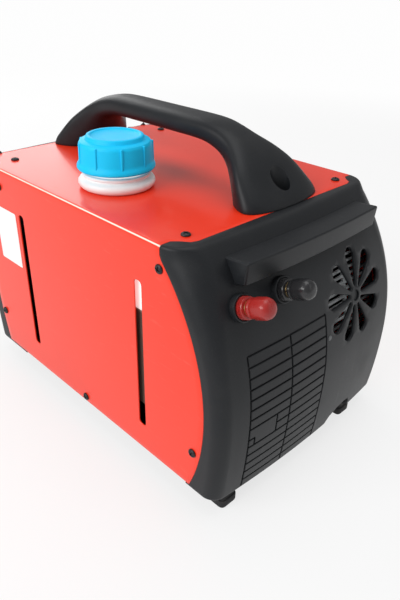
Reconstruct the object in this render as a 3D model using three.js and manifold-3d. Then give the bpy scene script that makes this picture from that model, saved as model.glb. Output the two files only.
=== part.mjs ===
// Portable diesel air heater: a red folded cover between two black end caps, with a carry
// handle, a fuel tank with a screw cap, and the burner core that blows warm air along +X to -X.
// Millimetres, +Z up. The intake end faces +X, the fuel tank lies on the -Y side.
import * as THREE from 'three';
import { mergeVertices } from 'three/addons/utils/BufferGeometryUtils.js';
import Module from 'manifold-3d';

const wasm = await Module();
wasm.setup();

// ---------------------------------------------------------------- driving dimensions
const BODY_WIDTH = 250;             // over the red cover, across Y
const COVER_HEIGHT = 216;           // height of the cover's sides
const FLOOR_CLEARANCE = 24;         // floor to the cover's lower edge
const SHEET = 1.2;                  // cover sheet thickness
const FOLD_RADIUS = 3;              // outside radius of the cover's two folds
const GAP = 0.3;                    // seat clearance between touching pieces
const CAP_DROP = 4;                 // the end caps hang this much below the cover
const CAP_WALL = 3;                 // end cap wall
const FLANGE_DEPTH = 27;            // how far each end cap reaches in under the cover
const CORNER_RADIUS = 14;           // end cap vertical corners at mid height
const TOP_CORNER_RADIUS = 30;       // the same corners at the top
const CROWN_RADIUS = 1150;          // bulge of the end faces in plan

const PAN_SHEET = 1.5;              // base pan sheet
const PAN_FLANGE = 22;              // height of the pan's side flanges
const FOOT = { length: 26, width: 20, corner: 5, stem: 4, rearX: 165.5, frontX: -137, tankSideY: -99, coreSideY: 81 };

const SLOT = { width: 9, low: 52, high: 201, frontX: -88, rearX: 91 };
const SCREW = { head: 4, headHeight: 2.2, shank: 2, length: 8 };

const TANK = { front: -75, rear: 115, outer: -120, inner: -18, low: 67, high: 227, wall: 3, corner: 12 };
const NECK = { x: -8, y: -66, radius: 27, wall: 3, holeRadius: 29.5, height: 30 };
const COLLAR = { seat: 31.5, bulge: 34.8, height: 14 };
const CAP = { radius: 33, flange: 35.2, skirt: 17, height: 46, ribs: 9, ribHeight: 1.1 };

const CORE = { y: 53, z: 150, width: 112, height: 116, wall: 2.5, front: -158, rear: 142 };
const GRILLE = { z: 158.5, petals: 9, inner: 11, outer: 43.5, width: 12.5, slatPitch: 6.4 };
const POST = { z: 196, tilt: 22, redY: -89.5, blackY: -45, radius: 9, length: 32.5, stud: 3 };
const HANDLE = { x: -21, y: 6, halfLength: 154, grip: 19, nearFoot: 42, farFoot: 57, rise: 59.2, clear: 39.6 };
const OUTLET = { bore: 31, wall: 3, flange: 41, flangeThickness: 3, slats: 5 };
const PUMP = { x: 0, y: -64, z: 42, radius: 12.5, length: 76, nozzle: 2.5, nozzleLength: 14, end: 8, bore: 1.2 };
const PANEL = { width: 92, height: 58, thickness: 3.5, border: 6, depth: 12, y: -56, z: 172 };
const BUTTON = { radius: 5, proud: 2.2, depth: 8, travel: 1.2, pitch: 17 };

// ---------------------------------------------------------------- values worked out from them
const HALF = BODY_WIDTH / 2;
const COVER_TOP = FLOOR_CLEARANCE + COVER_HEIGHT;
const CAP_BOTTOM = FLOOR_CLEARANCE - CAP_DROP;
const UNDER_SHEET = SHEET + GAP;
const SPLIT_Z = COVER_TOP - UNDER_SHEET;
const PAN_Z = CAP_BOTTOM + CAP_WALL + GAP;
const FAR = 260;                    // past both ends of the body
const FACE_BACK = 150;              // inside both end faces, past the border's apex
const ARC_STEPS = 4;
const ROUND = 20;

// Each end cap in its own frame, facing +X. The side border is where the red cover stops.
const REAR = {
  name: 'rear', apexX: 193.5, apexZ: 96, upper: 240, lower: 520, topX: 132, shoulderZ: 230.6,
  borderApexX: 168, borderCentreZ: 100, borderRadius: 195, coverTopX: 131, earX: 118,
  floorX: 148,
};
const FRONT = {
  name: 'front', apexX: 193.5, apexZ: 96, upper: 540, lower: 520, topX: 174, shoulderZ: COVER_TOP,
  borderApexX: 166.5, borderCentreZ: 106, borderRadius: 326, coverTopX: 168.5, earX: 139,
  floorX: 122,
};
const EAR_INNER_Y = HALF - 23;
const EAR_OUTER_Y = HALF - 11;

// ---------------------------------------------------------------- finishes
const finish = (color, roughness, metalness = 0) =>
  new THREE.MeshStandardMaterial({ color, roughness, metalness });
const RED_PAINT = finish(0xe8402f, 0.35);
const BLACK_PLASTIC = finish(0x2b2c2f, 0.55);
const BLUE_PLASTIC = finish(0x1f9be6, 0.4);
const WHITE_PLASTIC = finish(0xf1f1ee, 0.45);
const TANK_PLASTIC = finish(0xe9e6da, 0.5);
const RUBBER = finish(0x1c1c1c, 0.85);
const GREY_PLASTIC = finish(0xa9adb0, 0.5);
const DARK_STEEL = finish(0x202123, 0.4, 0.8);
const STEEL = finish(0xb9bcc0, 0.35, 0.9);
const BRASS = finish(0xc8a24a, 0.3, 0.9);
const CAST_ALUMINIUM = finish(0xa5a7a8, 0.6, 0.7);
const RED_PLASTIC = finish(0xb5342c, 0.4);
const BOARD_GREEN = finish(0x1d5c36, 0.6);

// ---------------------------------------------------------------- geometry helpers
const part = new THREE.Group();

function solidOf(geometry) {
  const bare = geometry.clone();
  bare.deleteAttribute('normal');
  bare.deleteAttribute('uv');
  const merged = mergeVertices(bare, 1e-4);
  return new wasm.Manifold(new wasm.Mesh({
    numProp: 3,
    vertProperties: new Float32Array(merged.attributes.position.array),
    triVerts: new Uint32Array(merged.index.array),
  }));
}

function geometryOf(solid) {
  const { vertProperties, triVerts } = solid.getMesh();
  const geometry = new THREE.BufferGeometry();
  geometry.setAttribute('position', new THREE.BufferAttribute(vertProperties, 3));
  geometry.setIndex(new THREE.BufferAttribute(triVerts, 1));
  return geometry;
}

function addPiece(name, solid, material) {
  const mesh = new THREE.Mesh(geometryOf(solid), material);
  mesh.name = name;
  part.add(mesh);
}

const joined = (first, ...rest) => rest.reduce((sum, next) => sum.add(next), first);
const without = (first, ...rest) => rest.reduce((sum, next) => sum.subtract(next), first);

const toShape = (points) => new THREE.Shape(points.map(([a, b]) => new THREE.Vector2(a, b)));

function extrusion(shape, depth) {
  return new THREE.ExtrudeGeometry(shape, { depth, bevelEnabled: false, curveSegments: ROUND / 2 });
}

// Prisms whose outline lies in the XY, XZ or YZ plane, given as [first, second] pairs.
function prismZ(points, low, high) {
  return solidOf(extrusion(toShape(points), high - low).translate(0, 0, low));
}
function prismY(points, low, high) {
  return solidOf(extrusion(toShape(points), high - low).rotateX(Math.PI / 2).translate(0, high, 0));
}
function prismX(points, low, high) {
  const turned = extrusion(toShape(points), high - low).rotateZ(Math.PI / 2).rotateY(Math.PI / 2);
  return solidOf(turned.translate(low, 0, 0));
}

function box(x0, x1, y0, y1, z0, z1) {
  const shape = new THREE.BoxGeometry(x1 - x0, y1 - y0, z1 - z0);
  return solidOf(shape.translate((x0 + x1) / 2, (y0 + y1) / 2, (z0 + z1) / 2));
}

function frameAlong(origin, direction) {
  const turn = new THREE.Quaternion().setFromUnitVectors(new THREE.Vector3(0, 0, 1), direction);
  return new THREE.Matrix4().compose(origin, turn, new THREE.Vector3(1, 1, 1));
}

// A turned piece: profile of [radius, height] pairs, set on an origin along a direction.
function turned(profile, origin, direction, sides = ROUND) {
  const points = profile.map(([r, h]) => new THREE.Vector2(r, h));
  const lathe = new THREE.LatheGeometry(points, sides).rotateX(Math.PI / 2);
  return solidOf(lathe.applyMatrix4(frameAlong(origin, direction)));
}

function rod(radius, origin, direction, from, to, sides = ROUND) {
  return turned([[0, from], [radius, from], [radius, to], [0, to]], origin, direction, sides);
}

// Radius of a faceted hole whose flats stand clear of a round piece inside it.
const clearOf = (radius, sides = ROUND) => (radius + GAP) / Math.cos(Math.PI / sides);

const X_AXIS = new THREE.Vector3(1, 0, 0);
const Y_AXIS = new THREE.Vector3(0, 1, 0);
const Z_AXIS = new THREE.Vector3(0, 0, 1);
const at = (x, y, z) => new THREE.Vector3(x, y, z);

// A closed skin over a stack of outlines with equal point counts; each slice is {z, outline}.
function stack(slices) {
  const count = slices[0].outline.length;
  const positions = [];
  const indices = [];
  slices.forEach(({ z, outline }) => outline.forEach(([x, y]) => positions.push(x, y, z)));
  for (let level = 0; level + 1 < slices.length; level += 1) {
    for (let i = 0; i < count; i += 1) {
      const a = level * count + i;
      const b = level * count + ((i + 1) % count);
      indices.push(a, b, b + count, a, b + count, a + count);
    }
  }
  const lid = (slice) => THREE.ShapeUtils.triangulateShape(
    slice.outline.map(([x, y]) => new THREE.Vector2(x, y)), []);
  lid(slices[0]).forEach(([a, b, c]) => indices.push(a, c, b));
  const last = (slices.length - 1) * count;
  lid(slices[slices.length - 1]).forEach(([a, b, c]) => indices.push(last + a, last + b, last + c));
  const geometry = new THREE.BufferGeometry();
  geometry.setAttribute('position', new THREE.Float32BufferAttribute(positions, 3));
  geometry.setIndex(indices);
  return solidOf(geometry);
}

function roundedRect(x0, x1, y0, y1, radius, steps = 4) {
  const corners = [[x1 - radius, y0 + radius, -90], [x1 - radius, y1 - radius, 0],
    [x0 + radius, y1 - radius, 90], [x0 + radius, y0 + radius, 180]];
  const points = corners.flatMap(([cx, cy, start]) => Array.from({ length: steps + 1 }, (_, i) => {
    const angle = THREE.MathUtils.degToRad(start + (90 * i) / steps);
    return [cx + radius * Math.cos(angle), cy + radius * Math.sin(angle)];
  }));
  const before = (i) => points[(i + points.length - 1) % points.length];
  return points.filter(([x, y], i) => Math.hypot(x - before(i)[0], y - before(i)[1]) > 1e-3);
}

// A round rod or hose along a list of centre points: each ring keeps the turn of the last one.
function alongPath(centres, radius, sides) {
  const positions = [];
  const indices = [];
  const last = centres.length - 1;
  let across = new THREE.Vector3(0.3, 0.5, 0.8);
  centres.forEach((centre, i) => {
    const along = centres[Math.min(i + 1, last)].clone().sub(centres[Math.max(i - 1, 0)]).normalize();
    across = across.clone().addScaledVector(along, -across.dot(along)).normalize();
    const other = along.clone().cross(across);
    for (let k = 0; k < sides; k += 1) {
      const angle = (2 * Math.PI * k) / sides;
      const corner = centre.clone().addScaledVector(across, radius * Math.cos(angle));
      positions.push(...corner.addScaledVector(other, radius * Math.sin(angle)).toArray());
    }
  });
  for (let i = 0; i < last; i += 1) {
    for (let k = 0; k < sides; k += 1) {
      const a = i * sides + k;
      const b = i * sides + ((k + 1) % sides);
      indices.push(a, b, b + sides, a, b + sides, a + sides);
    }
  }
  for (let k = 1; k + 1 < sides; k += 1) {
    indices.push(0, k + 1, k, last * sides, last * sides + k, last * sides + k + 1);
  }
  const geometry = new THREE.BufferGeometry();
  geometry.setAttribute('position', new THREE.Float32BufferAttribute(positions, 3));
  geometry.setIndex(indices);
  return solidOf(geometry);
}

// Straight runs between corner points, with each inner corner rounded off by the bend length.
function roundedPath(corners, bend) {
  const path = [corners[0]];
  for (let i = 1; i + 1 < corners.length; i += 1) {
    const into = corners[i - 1].clone().sub(corners[i]);
    const away = corners[i + 1].clone().sub(corners[i]);
    const reach = Math.min(bend, into.length() / 2, away.length() / 2);
    const start = corners[i].clone().addScaledVector(into.normalize(), reach);
    const end = corners[i].clone().addScaledVector(away.normalize(), reach);
    path.push(...new THREE.QuadraticBezierCurve3(start, corners[i], end).getPoints(4));
  }
  path.push(corners[corners.length - 1]);
  return path.filter((point, i) => i === 0 || point.distanceTo(path[i - 1]) > 0.05);
}

function hose(corners, bend, radius, bore) {
  const path = roundedPath(corners, bend);
  const first = path[0].clone().multiplyScalar(2).sub(path[1]);
  const final = path[path.length - 1].clone().multiplyScalar(2).sub(path[path.length - 2]);
  return alongPath(path, radius, 8).subtract(alongPath([first, ...path, final], bore, 8));
}

// ---------------------------------------------------------------- end cap surfaces
// How far the face stands out at height z, inset by a wall thickness.
function faceX(end, z, inset = 0) {
  const radius = z > end.apexZ ? end.upper : end.lower;
  const centre = end.apexX - radius;
  const arcAt = (height) => centre + Math.sqrt((radius - inset) ** 2 - (height - end.apexZ) ** 2);
  if (z <= end.shoulderZ) return arcAt(z);
  const share = (COVER_TOP - z) / (COVER_TOP - end.shoulderZ);
  const edge = end.topX - inset;
  return edge + (arcAt(end.shoulderZ) - edge) * Math.max(share, 0) ** 0.8;
}

const crown = (y) => (y * y) / (2 * CROWN_RADIUS);

function cornerRadius(end, z) {
  const rise = THREE.MathUtils.clamp((z - 140) / (COVER_TOP - 10 - 140), 0, 1);
  const grown = CORNER_RADIUS + (TOP_CORNER_RADIUS - CORNER_RADIUS) * rise ** 2;
  return Math.min(grown, faceX(end, z) - end.earX - 2);
}

function capOutline(end, z, inset, backX) {
  const half = HALF - inset;
  const radius = Math.max(cornerRadius(end, z) - inset, 0.8);
  const front = faceX(end, z, inset);
  const turnY = half - radius;
  const turnX = front - crown(turnY) - radius;
  const points = [[backX, -half]];
  for (let i = 0; i <= ARC_STEPS; i += 1) {
    const angle = (Math.PI / 2) * (i / ARC_STEPS);
    points.push([turnX + radius * Math.sin(angle), -turnY - radius * Math.cos(angle)]);
  }
  const columns = 6;
  for (let i = 1; i < columns; i += 1) {
    const y = -turnY + (2 * turnY * i) / columns;
    points.push([front - crown(y), y]);
  }
  for (let i = ARC_STEPS; i >= 0; i -= 1) {
    const angle = (Math.PI / 2) * (i / ARC_STEPS);
    points.push([turnX + radius * Math.sin(angle), turnY + radius * Math.cos(angle)]);
  }
  points.push([backX, half]);
  return points;
}

function capBody(end, inset, low, high, backX) {
  const levels = [low];
  const rows = 12;
  for (let i = 1; i < rows; i += 1) {
    const z = CAP_BOTTOM + ((end.shoulderZ - CAP_BOTTOM) * i) / rows;
    if (z > low + 2 && z < high - 2) levels.push(z);
  }
  if (end.shoulderZ < high - 1) levels.push(end.shoulderZ, (end.shoulderZ + COVER_TOP) / 2);
  levels.push(high);
  return stack(levels.map((z) => ({ z, outline: capOutline(end, z, inset, backX) })));
}

// A bar with the cover's folded section, drawn in by an inset and open at the bottom.
function coverSection(inset, bottom) {
  const steps = 3;
  const half = HALF - inset;
  const radius = FOLD_RADIUS - inset;
  const fold = Array.from({ length: steps + 1 }, (_, i) => {
    const angle = (Math.PI / 2) * (i / steps);
    return [half - radius + radius * Math.cos(angle), COVER_TOP - FOLD_RADIUS + radius * Math.sin(angle)];
  });
  const otherFold = fold.slice().reverse().map(([y, z]) => [-y, z]);
  return prismX([[half, bottom], ...fold, ...otherFold, [-half, bottom]], -FAR, FAR);
}

// Where the cover's side stops, at height z.
const borderX = (end, z) =>
  end.borderApexX - end.borderRadius + Math.sqrt(end.borderRadius ** 2 - (z - end.borderCentreZ) ** 2);

// Everything past the cover's border, moved out by shift: the sides follow an arc, the top is
// straight between two ears where the cap folds over the cover's corners. Under the cover's lower
// edge the border steps in to floorX, so that the cap's floor carries the feet.
function pastBorder(end, shift) {
  const side = [[FAR, 0]];
  side.push([FAR, SPLIT_Z]);
  const steps = 14;
  const lipZ = FLOOR_CLEARANCE - GAP;
  for (let i = 0; i <= steps; i += 1) {
    const z = SPLIT_Z - ((SPLIT_Z - lipZ) * i) / steps;
    const x = Math.max(borderX(end, z), end.earX);
    side.push([x + shift, z]);
  }
  const floorX = end.floorX + Math.max(shift, 0);
  side.push([floorX, lipZ]);
  side.push([floorX, 0]);
  const top = [[FAR, -HALF - 5], [FAR, HALF + 5]];
  const ear = [[end.earX, HALF + 5], [end.earX, EAR_OUTER_Y], [(end.earX * 2 + end.coverTopX) / 3, EAR_OUTER_Y - 5],
    [(end.earX + end.coverTopX * 5) / 6, EAR_INNER_Y + 2], [end.coverTopX, EAR_INNER_Y - 4]];
  ear.forEach(([x, y]) => top.push([x + shift, y]));
  ear.slice().reverse().forEach(([x, y]) => top.push([x + shift, -y]));
  return prismY(side, -HALF - 5, HALF + 5).add(prismZ(top, SPLIT_Z, COVER_TOP + 10));
}

const turnAbout = (solid) => {
  const geometry = geometryOf(solid);
  return solidOf(geometry.rotateZ(Math.PI));
};

// The point and outward direction of the rear face at a height.
function faceSeat(y, z) {
  const tilt = Math.asin((z - REAR.apexZ) / REAR.upper);
  return { point: at(faceX(REAR, z) - crown(y), y, z), direction: at(Math.cos(tilt), 0, Math.sin(tilt)) };
}

// ---------------------------------------------------------------- cover and its screws
const sideScrews = [
  { x: -(FRONT.earX - 15), z: 221 },
  { x: REAR.earX, z: 221 },
  { x: -(FRONT.borderApexX - 10.5), z: 64 },
  { x: REAR.borderApexX - 11.5, z: 64 },
  { x: 0, z: 30 },
];
const TOP_SCREW_Y = HALF - 27;
const topScrews = [{ x: -(FRONT.earX - 3), y: TOP_SCREW_Y }, { x: REAR.earX - 0.5, y: TOP_SCREW_Y }];

// Every cover screw: its seat on the sheet and the way its head faces.
function coverScrews() {
  const screws = [];
  [[-1, 'tank_side'], [1, 'core_side']].forEach(([side, label]) => {
    sideScrews.forEach(({ x, z }, index) => screws.push({
      name: `cover_screw_${label}_${index + 1}`, seat: at(x, side * HALF, z), out: at(0, side, 0),
    }));
    topScrews.forEach(({ x, y }, index) => screws.push({
      name: `cover_screw_top_${label}_${index + 1}`, seat: at(x, side * y, COVER_TOP), out: Z_AXIS,
    }));
  });
  return screws;
}

const SCREW_SIDES = 8;
const screwHoles = () => coverScrews().map(({ seat, out }) =>
  rod(clearOf(SCREW.shank, SCREW_SIDES), seat, out, -12, 5, SCREW_SIDES));

function shellCover() {
  const sheet = coverSection(0, FLOOR_CLEARANCE).subtract(coverSection(SHEET, FLOOR_CLEARANCE - 5));
  const slot = (x) => {
    const r = SLOT.width / 2;
    return prismY(roundedRect(x - r, x + r, SLOT.low, SLOT.high, r), -HALF - 5, -HALF + 10);
  };
  const neckHole = rod(NECK.holeRadius, at(NECK.x, NECK.y, COVER_TOP), Z_AXIS, -10, 10);
  return without(sheet, pastBorder(REAR, 0), turnAbout(pastBorder(FRONT, 0)), slot(SLOT.frontX),
    slot(SLOT.rearX), neckHole, ...screwHoles(), ...handleHoles());
}

function coverScrew(seat, out) {
  const { head, headHeight, shank, length } = SCREW;
  return turned([[0, -length], [shank, -length], [shank, GAP], [head, GAP], [head, 0.5 * headHeight],
    [0.75 * head, headHeight], [0, headHeight]], seat, out, SCREW_SIDES);
}

// ---------------------------------------------------------------- end caps
const footPlaces = [
  { name: 'foot_rear_tank_side', x: FOOT.rearX, y: FOOT.tankSideY },
  { name: 'foot_rear_core_side', x: FOOT.rearX, y: FOOT.coreSideY },
  { name: 'foot_front_tank_side', x: FOOT.frontX, y: FOOT.tankSideY },
  { name: 'foot_front_core_side', x: FOOT.frontX, y: FOOT.coreSideY },
];

function plainCap(end) {
  const backX = end.earX - FLANGE_DEPTH - 30;
  const outer = capBody(end, 0, CAP_BOTTOM, COVER_TOP, backX).intersect(pastBorder(end, GAP))
    .intersect(coverSection(0, 0));
  const flange = capBody(end, UNDER_SHEET, CAP_BOTTOM + UNDER_SHEET, COVER_TOP - UNDER_SHEET, backX)
    .intersect(pastBorder(end, -FLANGE_DEPTH)).intersect(coverSection(UNDER_SHEET, 0));
  const hollow = capBody(end, CAP_WALL, CAP_BOTTOM + CAP_WALL, COVER_TOP - CAP_WALL, backX - 1);
  return outer.add(flange).subtract(hollow);
}

const FOOT_SIDES = 12;
const footHoles = () => footPlaces.map(({ x, y }) =>
  rod(clearOf(FOOT.stem, FOOT_SIDES), at(x, y, 0), Z_AXIS, CAP_BOTTOM - 5, CAP_BOTTOM + CAP_WALL + 2, FOOT_SIDES));

// The long lip over the rear face that shades the terminals and the grille.
const VISOR = { half: 88, sunk: 4, sunkZ: 222, lip: [[161, 209.5], [163.4, 210.6], [173, 213.6], [175, 232]] };

function visor() {
  const backX = faceX(REAR, REAR.shoulderZ) - 1;
  const outline = [[backX, REAR.shoulderZ], [backX - VISOR.sunk, VISOR.sunkZ], ...VISOR.lip];
  return prismY(outline.reverse(), -VISOR.half, VISOR.half).subtract(capBody(REAR, CAP_WALL, CAP_BOTTOM, COVER_TOP - 3, 100));
}

// One teardrop of the fan grille, pointing up the face before it is turned about the hub.
function petal(angle, depth) {
  const { inner, outer, width } = GRILLE;
  const tip = width / 2;
  const centre = outer - tip;
  const points = [[-1.6, inner], [1.6, inner]];
  const steps = 8;
  for (let i = 0; i <= steps; i += 1) {
    const turn = (Math.PI * i) / steps;
    points.push([tip * Math.cos(turn), centre + tip * Math.sin(turn)]);
  }
  const seat = faceSeat(CORE.y, GRILLE.z);
  const shape = extrusion(toShape(points), 2 * depth).translate(0, 0, -depth).rotateZ(angle);
  shape.rotateZ(Math.PI / 2);
  return solidOf(shape.applyMatrix4(frameAlong(seat.point, seat.direction)));
}

const LOUVRE = {
  left: -93, right: 3, centre: -44, low: 22, high: 159, rows: 14, line: 1.7, depth: 1.2,
  plate: { left: -91, right: -60, low: 72, high: 90 },
};

// Grooves cut into the rear face: two columns of level lines inside a border.
function louvreGrooves() {
  const { left, right, centre, low, high, rows, line, depth } = LOUVRE;
  const level = (z) => box(FACE_BACK, FAR, left, right, z - line / 2, z + line / 2);
  const upright = (y) => box(FACE_BACK, FAR, y - line / 2, y + line / 2, low, high);
  const bars = Array.from({ length: rows + 1 }, (_, i) => level(low + ((high - low) * i) / rows));
  const lines = joined(...bars, upright(left), upright(centre), upright(right));
  const skin = capBody(REAR, -1, CAP_BOTTOM - 1, COVER_TOP, 90)
    .subtract(capBody(REAR, depth, CAP_BOTTOM - 2, COVER_TOP + 1, 89));
  const bare = LOUVRE.plate;
  return lines.intersect(skin).subtract(box(FACE_BACK, FAR, bare.left, bare.right, bare.low, bare.high));
}

function archNotch() {
  const points = [[22, CAP_BOTTOM - 1], [70, CAP_BOTTOM - 1], [69.5, 29], [67, 33.5], [61, 35], [48, 34], [37, 31],
    [31, 29], [26, 22]];
  return prismX(points, REAR.apexX - 13.5, FAR);
}

function rearEndCap() {
  const seat = faceSeat(CORE.y, GRILLE.z);
  const petals = Array.from({ length: GRILLE.petals }, (_, i) =>
    petal((2 * Math.PI * i) / GRILLE.petals, 9));
  const hubDimple = rod(4, seat.point, seat.direction, -1.2, 5, 12);
  const bosses = [POST.redY, POST.blackY].map((y) => {
    const { point, direction } = postSeat(y);
    return rod(POST.radius + 1.5, point, direction, -5, 0);
  });
  const studHoles = [POST.redY, POST.blackY].map((y) => {
    const { point, direction } = postSeat(y);
    return rod(clearOf(POST.stud, POST_SIDES), point, direction, -14, 6, POST_SIDES);
  });
  const shell = joined(plainCap(REAR), visor(), ...bosses);
  return without(shell, louvreGrooves(), ...petals, hubDimple, archNotch(), ...studHoles, ...footHoles(),
    ...screwHoles(), ...handleHoles());
}

function frontEndCap() {
  const shell = turnAbout(plainCap(FRONT));
  const outletHole = rod(clearOf(OUTLET.bore + OUTLET.wall), AXIS, X_AXIS, -FAR, -FACE_BACK);
  const { width, height, border, y, z } = PANEL;
  const panelHole = box(-FAR, -FACE_BACK, y - width / 2 + border, y + width / 2 - border, z - height / 2 + border,
    z + height / 2 - border);
  return without(shell, outletHole, panelHole, ...footHoles(), ...screwHoles(), ...handleHoles());
}

// ---------------------------------------------------------------- base pan and feet
function basePan() {
  const flangeHalf = HALF - UNDER_SHEET;
  const reach = 120;
  const floorHalf = HALF - CAP_WALL - UNDER_SHEET - GAP;
  const floor = box(-150, 150, -floorHalf, floorHalf, PAN_Z, PAN_Z + PAN_SHEET);
  const wide = box(-reach, reach, -flangeHalf, flangeHalf, PAN_Z, PAN_Z + PAN_SHEET);
  const flange = (side) => box(-reach, reach, ...[side * flangeHalf, side * (flangeHalf - PAN_SHEET)].sort((a, b) => a - b),
    PAN_Z, PAN_Z + PAN_FLANGE);
  // Folded benches: two legs and a shelf each, one for the tank and one for the burner core.
  const bench = (x0, x1, y0, y1, top) => {
    const shelf = box(x0, x1, y0, y1, top - PAN_SHEET, top);
    const leg = (x) => box(x, x + PAN_SHEET, y0, y1, PAN_Z, top);
    const opening = box(x0 - 5, x1 + 5, y0 + 15, y1 - 15, PAN_Z + 6, top - 8);
    return joined(shelf, leg(x0), leg(x1 - PAN_SHEET)).subtract(opening);
  };
  const tankBench = bench(TANK.front + 12, TANK.rear - 12, TANK.outer + 8, TANK.inner - 8, TANK.low - GAP)
    .subtract(box(-45, 85, TANK.outer + 20, TANK.inner - 20, 60, 70));
  const coreTop = CORE.z - CORE.height / 2 - GAP;
  const coreBench = bench(-100, 90, CORE.y - 40, CORE.y + 40, coreTop);
  const cradle = pumpCradle();
  const solid = joined(floor, wide, flange(1), flange(-1), tankBench, coreBench, cradle);
  const pipeHoles = pipePlaces.map(({ x, radius }) =>
    rod(clearOf(radius), at(x, CORE.y, 0), Z_AXIS, 0, coreTop + 5));
  const stubHole = rod(HOSE.radius + 1, at(FUEL_STUB.x, FUEL_STUB.y, 0), Z_AXIS, 60, coreTop + 5, 12);
  return without(solid, ...pipeHoles, stubHole, ...screwHoles(), pumpRoom());
}

function foot(x, y) {
  const { length, width, corner, stem } = FOOT;
  const top = CAP_BOTTOM - GAP;
  const outline = (grow) => roundedRect(x - length / 2 - grow, x + length / 2 + grow,
    y - width / 2 - grow, y + width / 2 + grow, corner + grow);
  const block = stack([{ z: 0, outline: outline(-1) }, { z: 1, outline: outline(0) }, { z: top, outline: outline(0) }]);
  return block.add(rod(stem, at(x, y, 0), Z_AXIS, top - 1, CAP_BOTTOM + CAP_WALL - 0.2, FOOT_SIDES));
}

// ---------------------------------------------------------------- carry handle
const HANDLE_SHANK = 2.4;
const HANDLE_SIDES = 12;
const HANDLE_SHANK_LENGTH = 15;
const RECESS = { fromEnd: 17, halfLength: 8.5, halfWidth: 10, seat: 5 };
const RECESS_Y = HANDLE.y + (HANDLE.farFoot - HANDLE.nearFoot) / 2;
const handleScrewSeats = () => [1, -1].map((side) =>
  at(HANDLE.x + side * (HANDLE.halfLength - RECESS.fromEnd), RECESS_Y, COVER_TOP + GAP + RECESS.seat));

const handleHoles = () => handleScrewSeats().map((seat) =>
  rod(clearOf(HANDLE_SHANK, HANDLE_SIDES), seat, Z_AXIS, -2 * HANDLE_SHANK_LENGTH, 5, HANDLE_SIDES));

function carryHandle() {
  const { x, y, halfLength, grip, nearFoot, farFoot, rise, clear } = HANDLE;
  const base = COVER_TOP + GAP;
  const mirrored = (points) => points.slice().reverse().map(([a, b]) => [-a, b]);
  // Side view: the outer curve down to the foot's end, then the edge of the finger gap.
  const outer = [[halfLength, 0], [halfLength - 2.5, 5], [halfLength - 13, 15.5], [halfLength - 27, rise / 2],
    [halfLength - 44, rise - 15.7], [halfLength - 64, rise - 5.2], [halfLength - 76, rise - 2],
    [halfLength - 92, rise]];
  const inner = [[48, clear], [68, clear - 1.2], [80, clear - 4.6], [93, clear - 15.2], [101, 8], [106, 0]];
  const outline = [...outer, ...mirrored(outer), ...mirrored(inner), ...inner];
  const side = prismY(outline.map(([a, b]) => [x + a, base + b]), y - nearFoot - 2, y + farFoot + 2);
  // Plan view: a slim grip that spreads into a broad foot at each end, further on the far side.
  const near = [[90, grip], [106, grip + 5], [120, nearFoot - 9], [134, nearFoot - 2], [142, nearFoot],
    [149, nearFoot - 2], [halfLength + 1, nearFoot - 11]];
  const far = [[90, grip], [99, grip + 5], [106, grip + 11], [120, farFoot - 13.5], [134, farFoot - 4],
    [145, farFoot], [151, farFoot - 3], [halfLength + 1, farFoot - 10]];
  const upper = [...mirrored(far), ...far];
  const lower = [...mirrored(near), ...near].reverse().map(([a, b]) => [a, -b]);
  const plan = [...upper, ...lower].map(([a, b]) => [x + a, y + b]);
  const top = prismZ(plan, base - 1, base + rise + 5);
  const recess = (seat) => {
    const steps = 16;
    const ring = Array.from({ length: steps }, (_, i) => {
      const angle = (2 * Math.PI * i) / steps;
      return [seat.x + RECESS.halfLength * Math.cos(angle), seat.y + RECESS.halfWidth * Math.sin(angle)];
    });
    return prismZ(ring, seat.z, base + rise + 5);
  };
  const seats = handleScrewSeats();
  return without(side.intersect(top), ...seats.map(recess),
    ...handleHoles());
}

function handleScrew(seat) {
  return turned([[0, -HANDLE_SHANK_LENGTH], [HANDLE_SHANK, -HANDLE_SHANK_LENGTH], [HANDLE_SHANK, GAP], [4.6, GAP],
    [4.6, 2.4], [3.6, 3.6], [0, 3.6]], seat, Z_AXIS, HANDLE_SIDES);
}

// ---------------------------------------------------------------- fuel tank, neck and cap
function fuelTank() {
  const { front, rear, outer, inner, low, high, wall, corner } = TANK;
  const block = (inset) => {
    const ring = (grow) => roundedRect(front + inset - grow, rear - inset + grow, outer + inset - grow,
      inner - inset + grow, corner - inset + grow);
    return stack([{ z: low + inset, outline: ring(-5) }, { z: low + inset + 5, outline: ring(0) },
      { z: high - inset - 5, outline: ring(0) }, { z: high - inset, outline: ring(-5) }]);
  };
  const neckTop = COVER_TOP + NECK.height;
  const neck = rod(NECK.radius, at(NECK.x, NECK.y, 0), Z_AXIS, high - 6, neckTop);
  const bore = rod(NECK.radius - NECK.wall, at(NECK.x, NECK.y, 0), Z_AXIS, high - 12, neckTop + 5);
  const outletNipple = rod(HOSE.nipple, at(HOSE.tankX, HOSE.tankY, 0), Z_AXIS, low - 12, low + 4, 12);
  const outletBore = rod(1.2, at(HOSE.tankX, HOSE.tankY, 0), Z_AXIS, low - 14, low + 8, 8);
  return without(joined(block(0), neck, outletNipple), block(wall), bore, outletBore);
}

function neckCollar() {
  const { seat, bulge, height } = COLLAR;
  const inside = clearOf(NECK.radius);
  const profile = [[inside, GAP], [seat, GAP], [bulge - 0.9, 3], [bulge, 6], [bulge - 0.6, 9], [bulge - 2.6, 11.5],
    [seat - 1.2, height], [inside, height], [inside, GAP]];
  return turned(profile, at(NECK.x, NECK.y, COVER_TOP), Z_AXIS);
}

const LINER_Z = NECK.height + GAP;

function capLiner() {
  const rim = NECK.radius - 0.5;
  return turned([[0, LINER_Z], [rim, LINER_Z], [rim, LINER_Z + 2], [6, LINER_Z + 2], [5, LINER_Z + 3], [0, LINER_Z + 3]],
    at(NECK.x, NECK.y, COVER_TOP), Z_AXIS);
}

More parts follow.
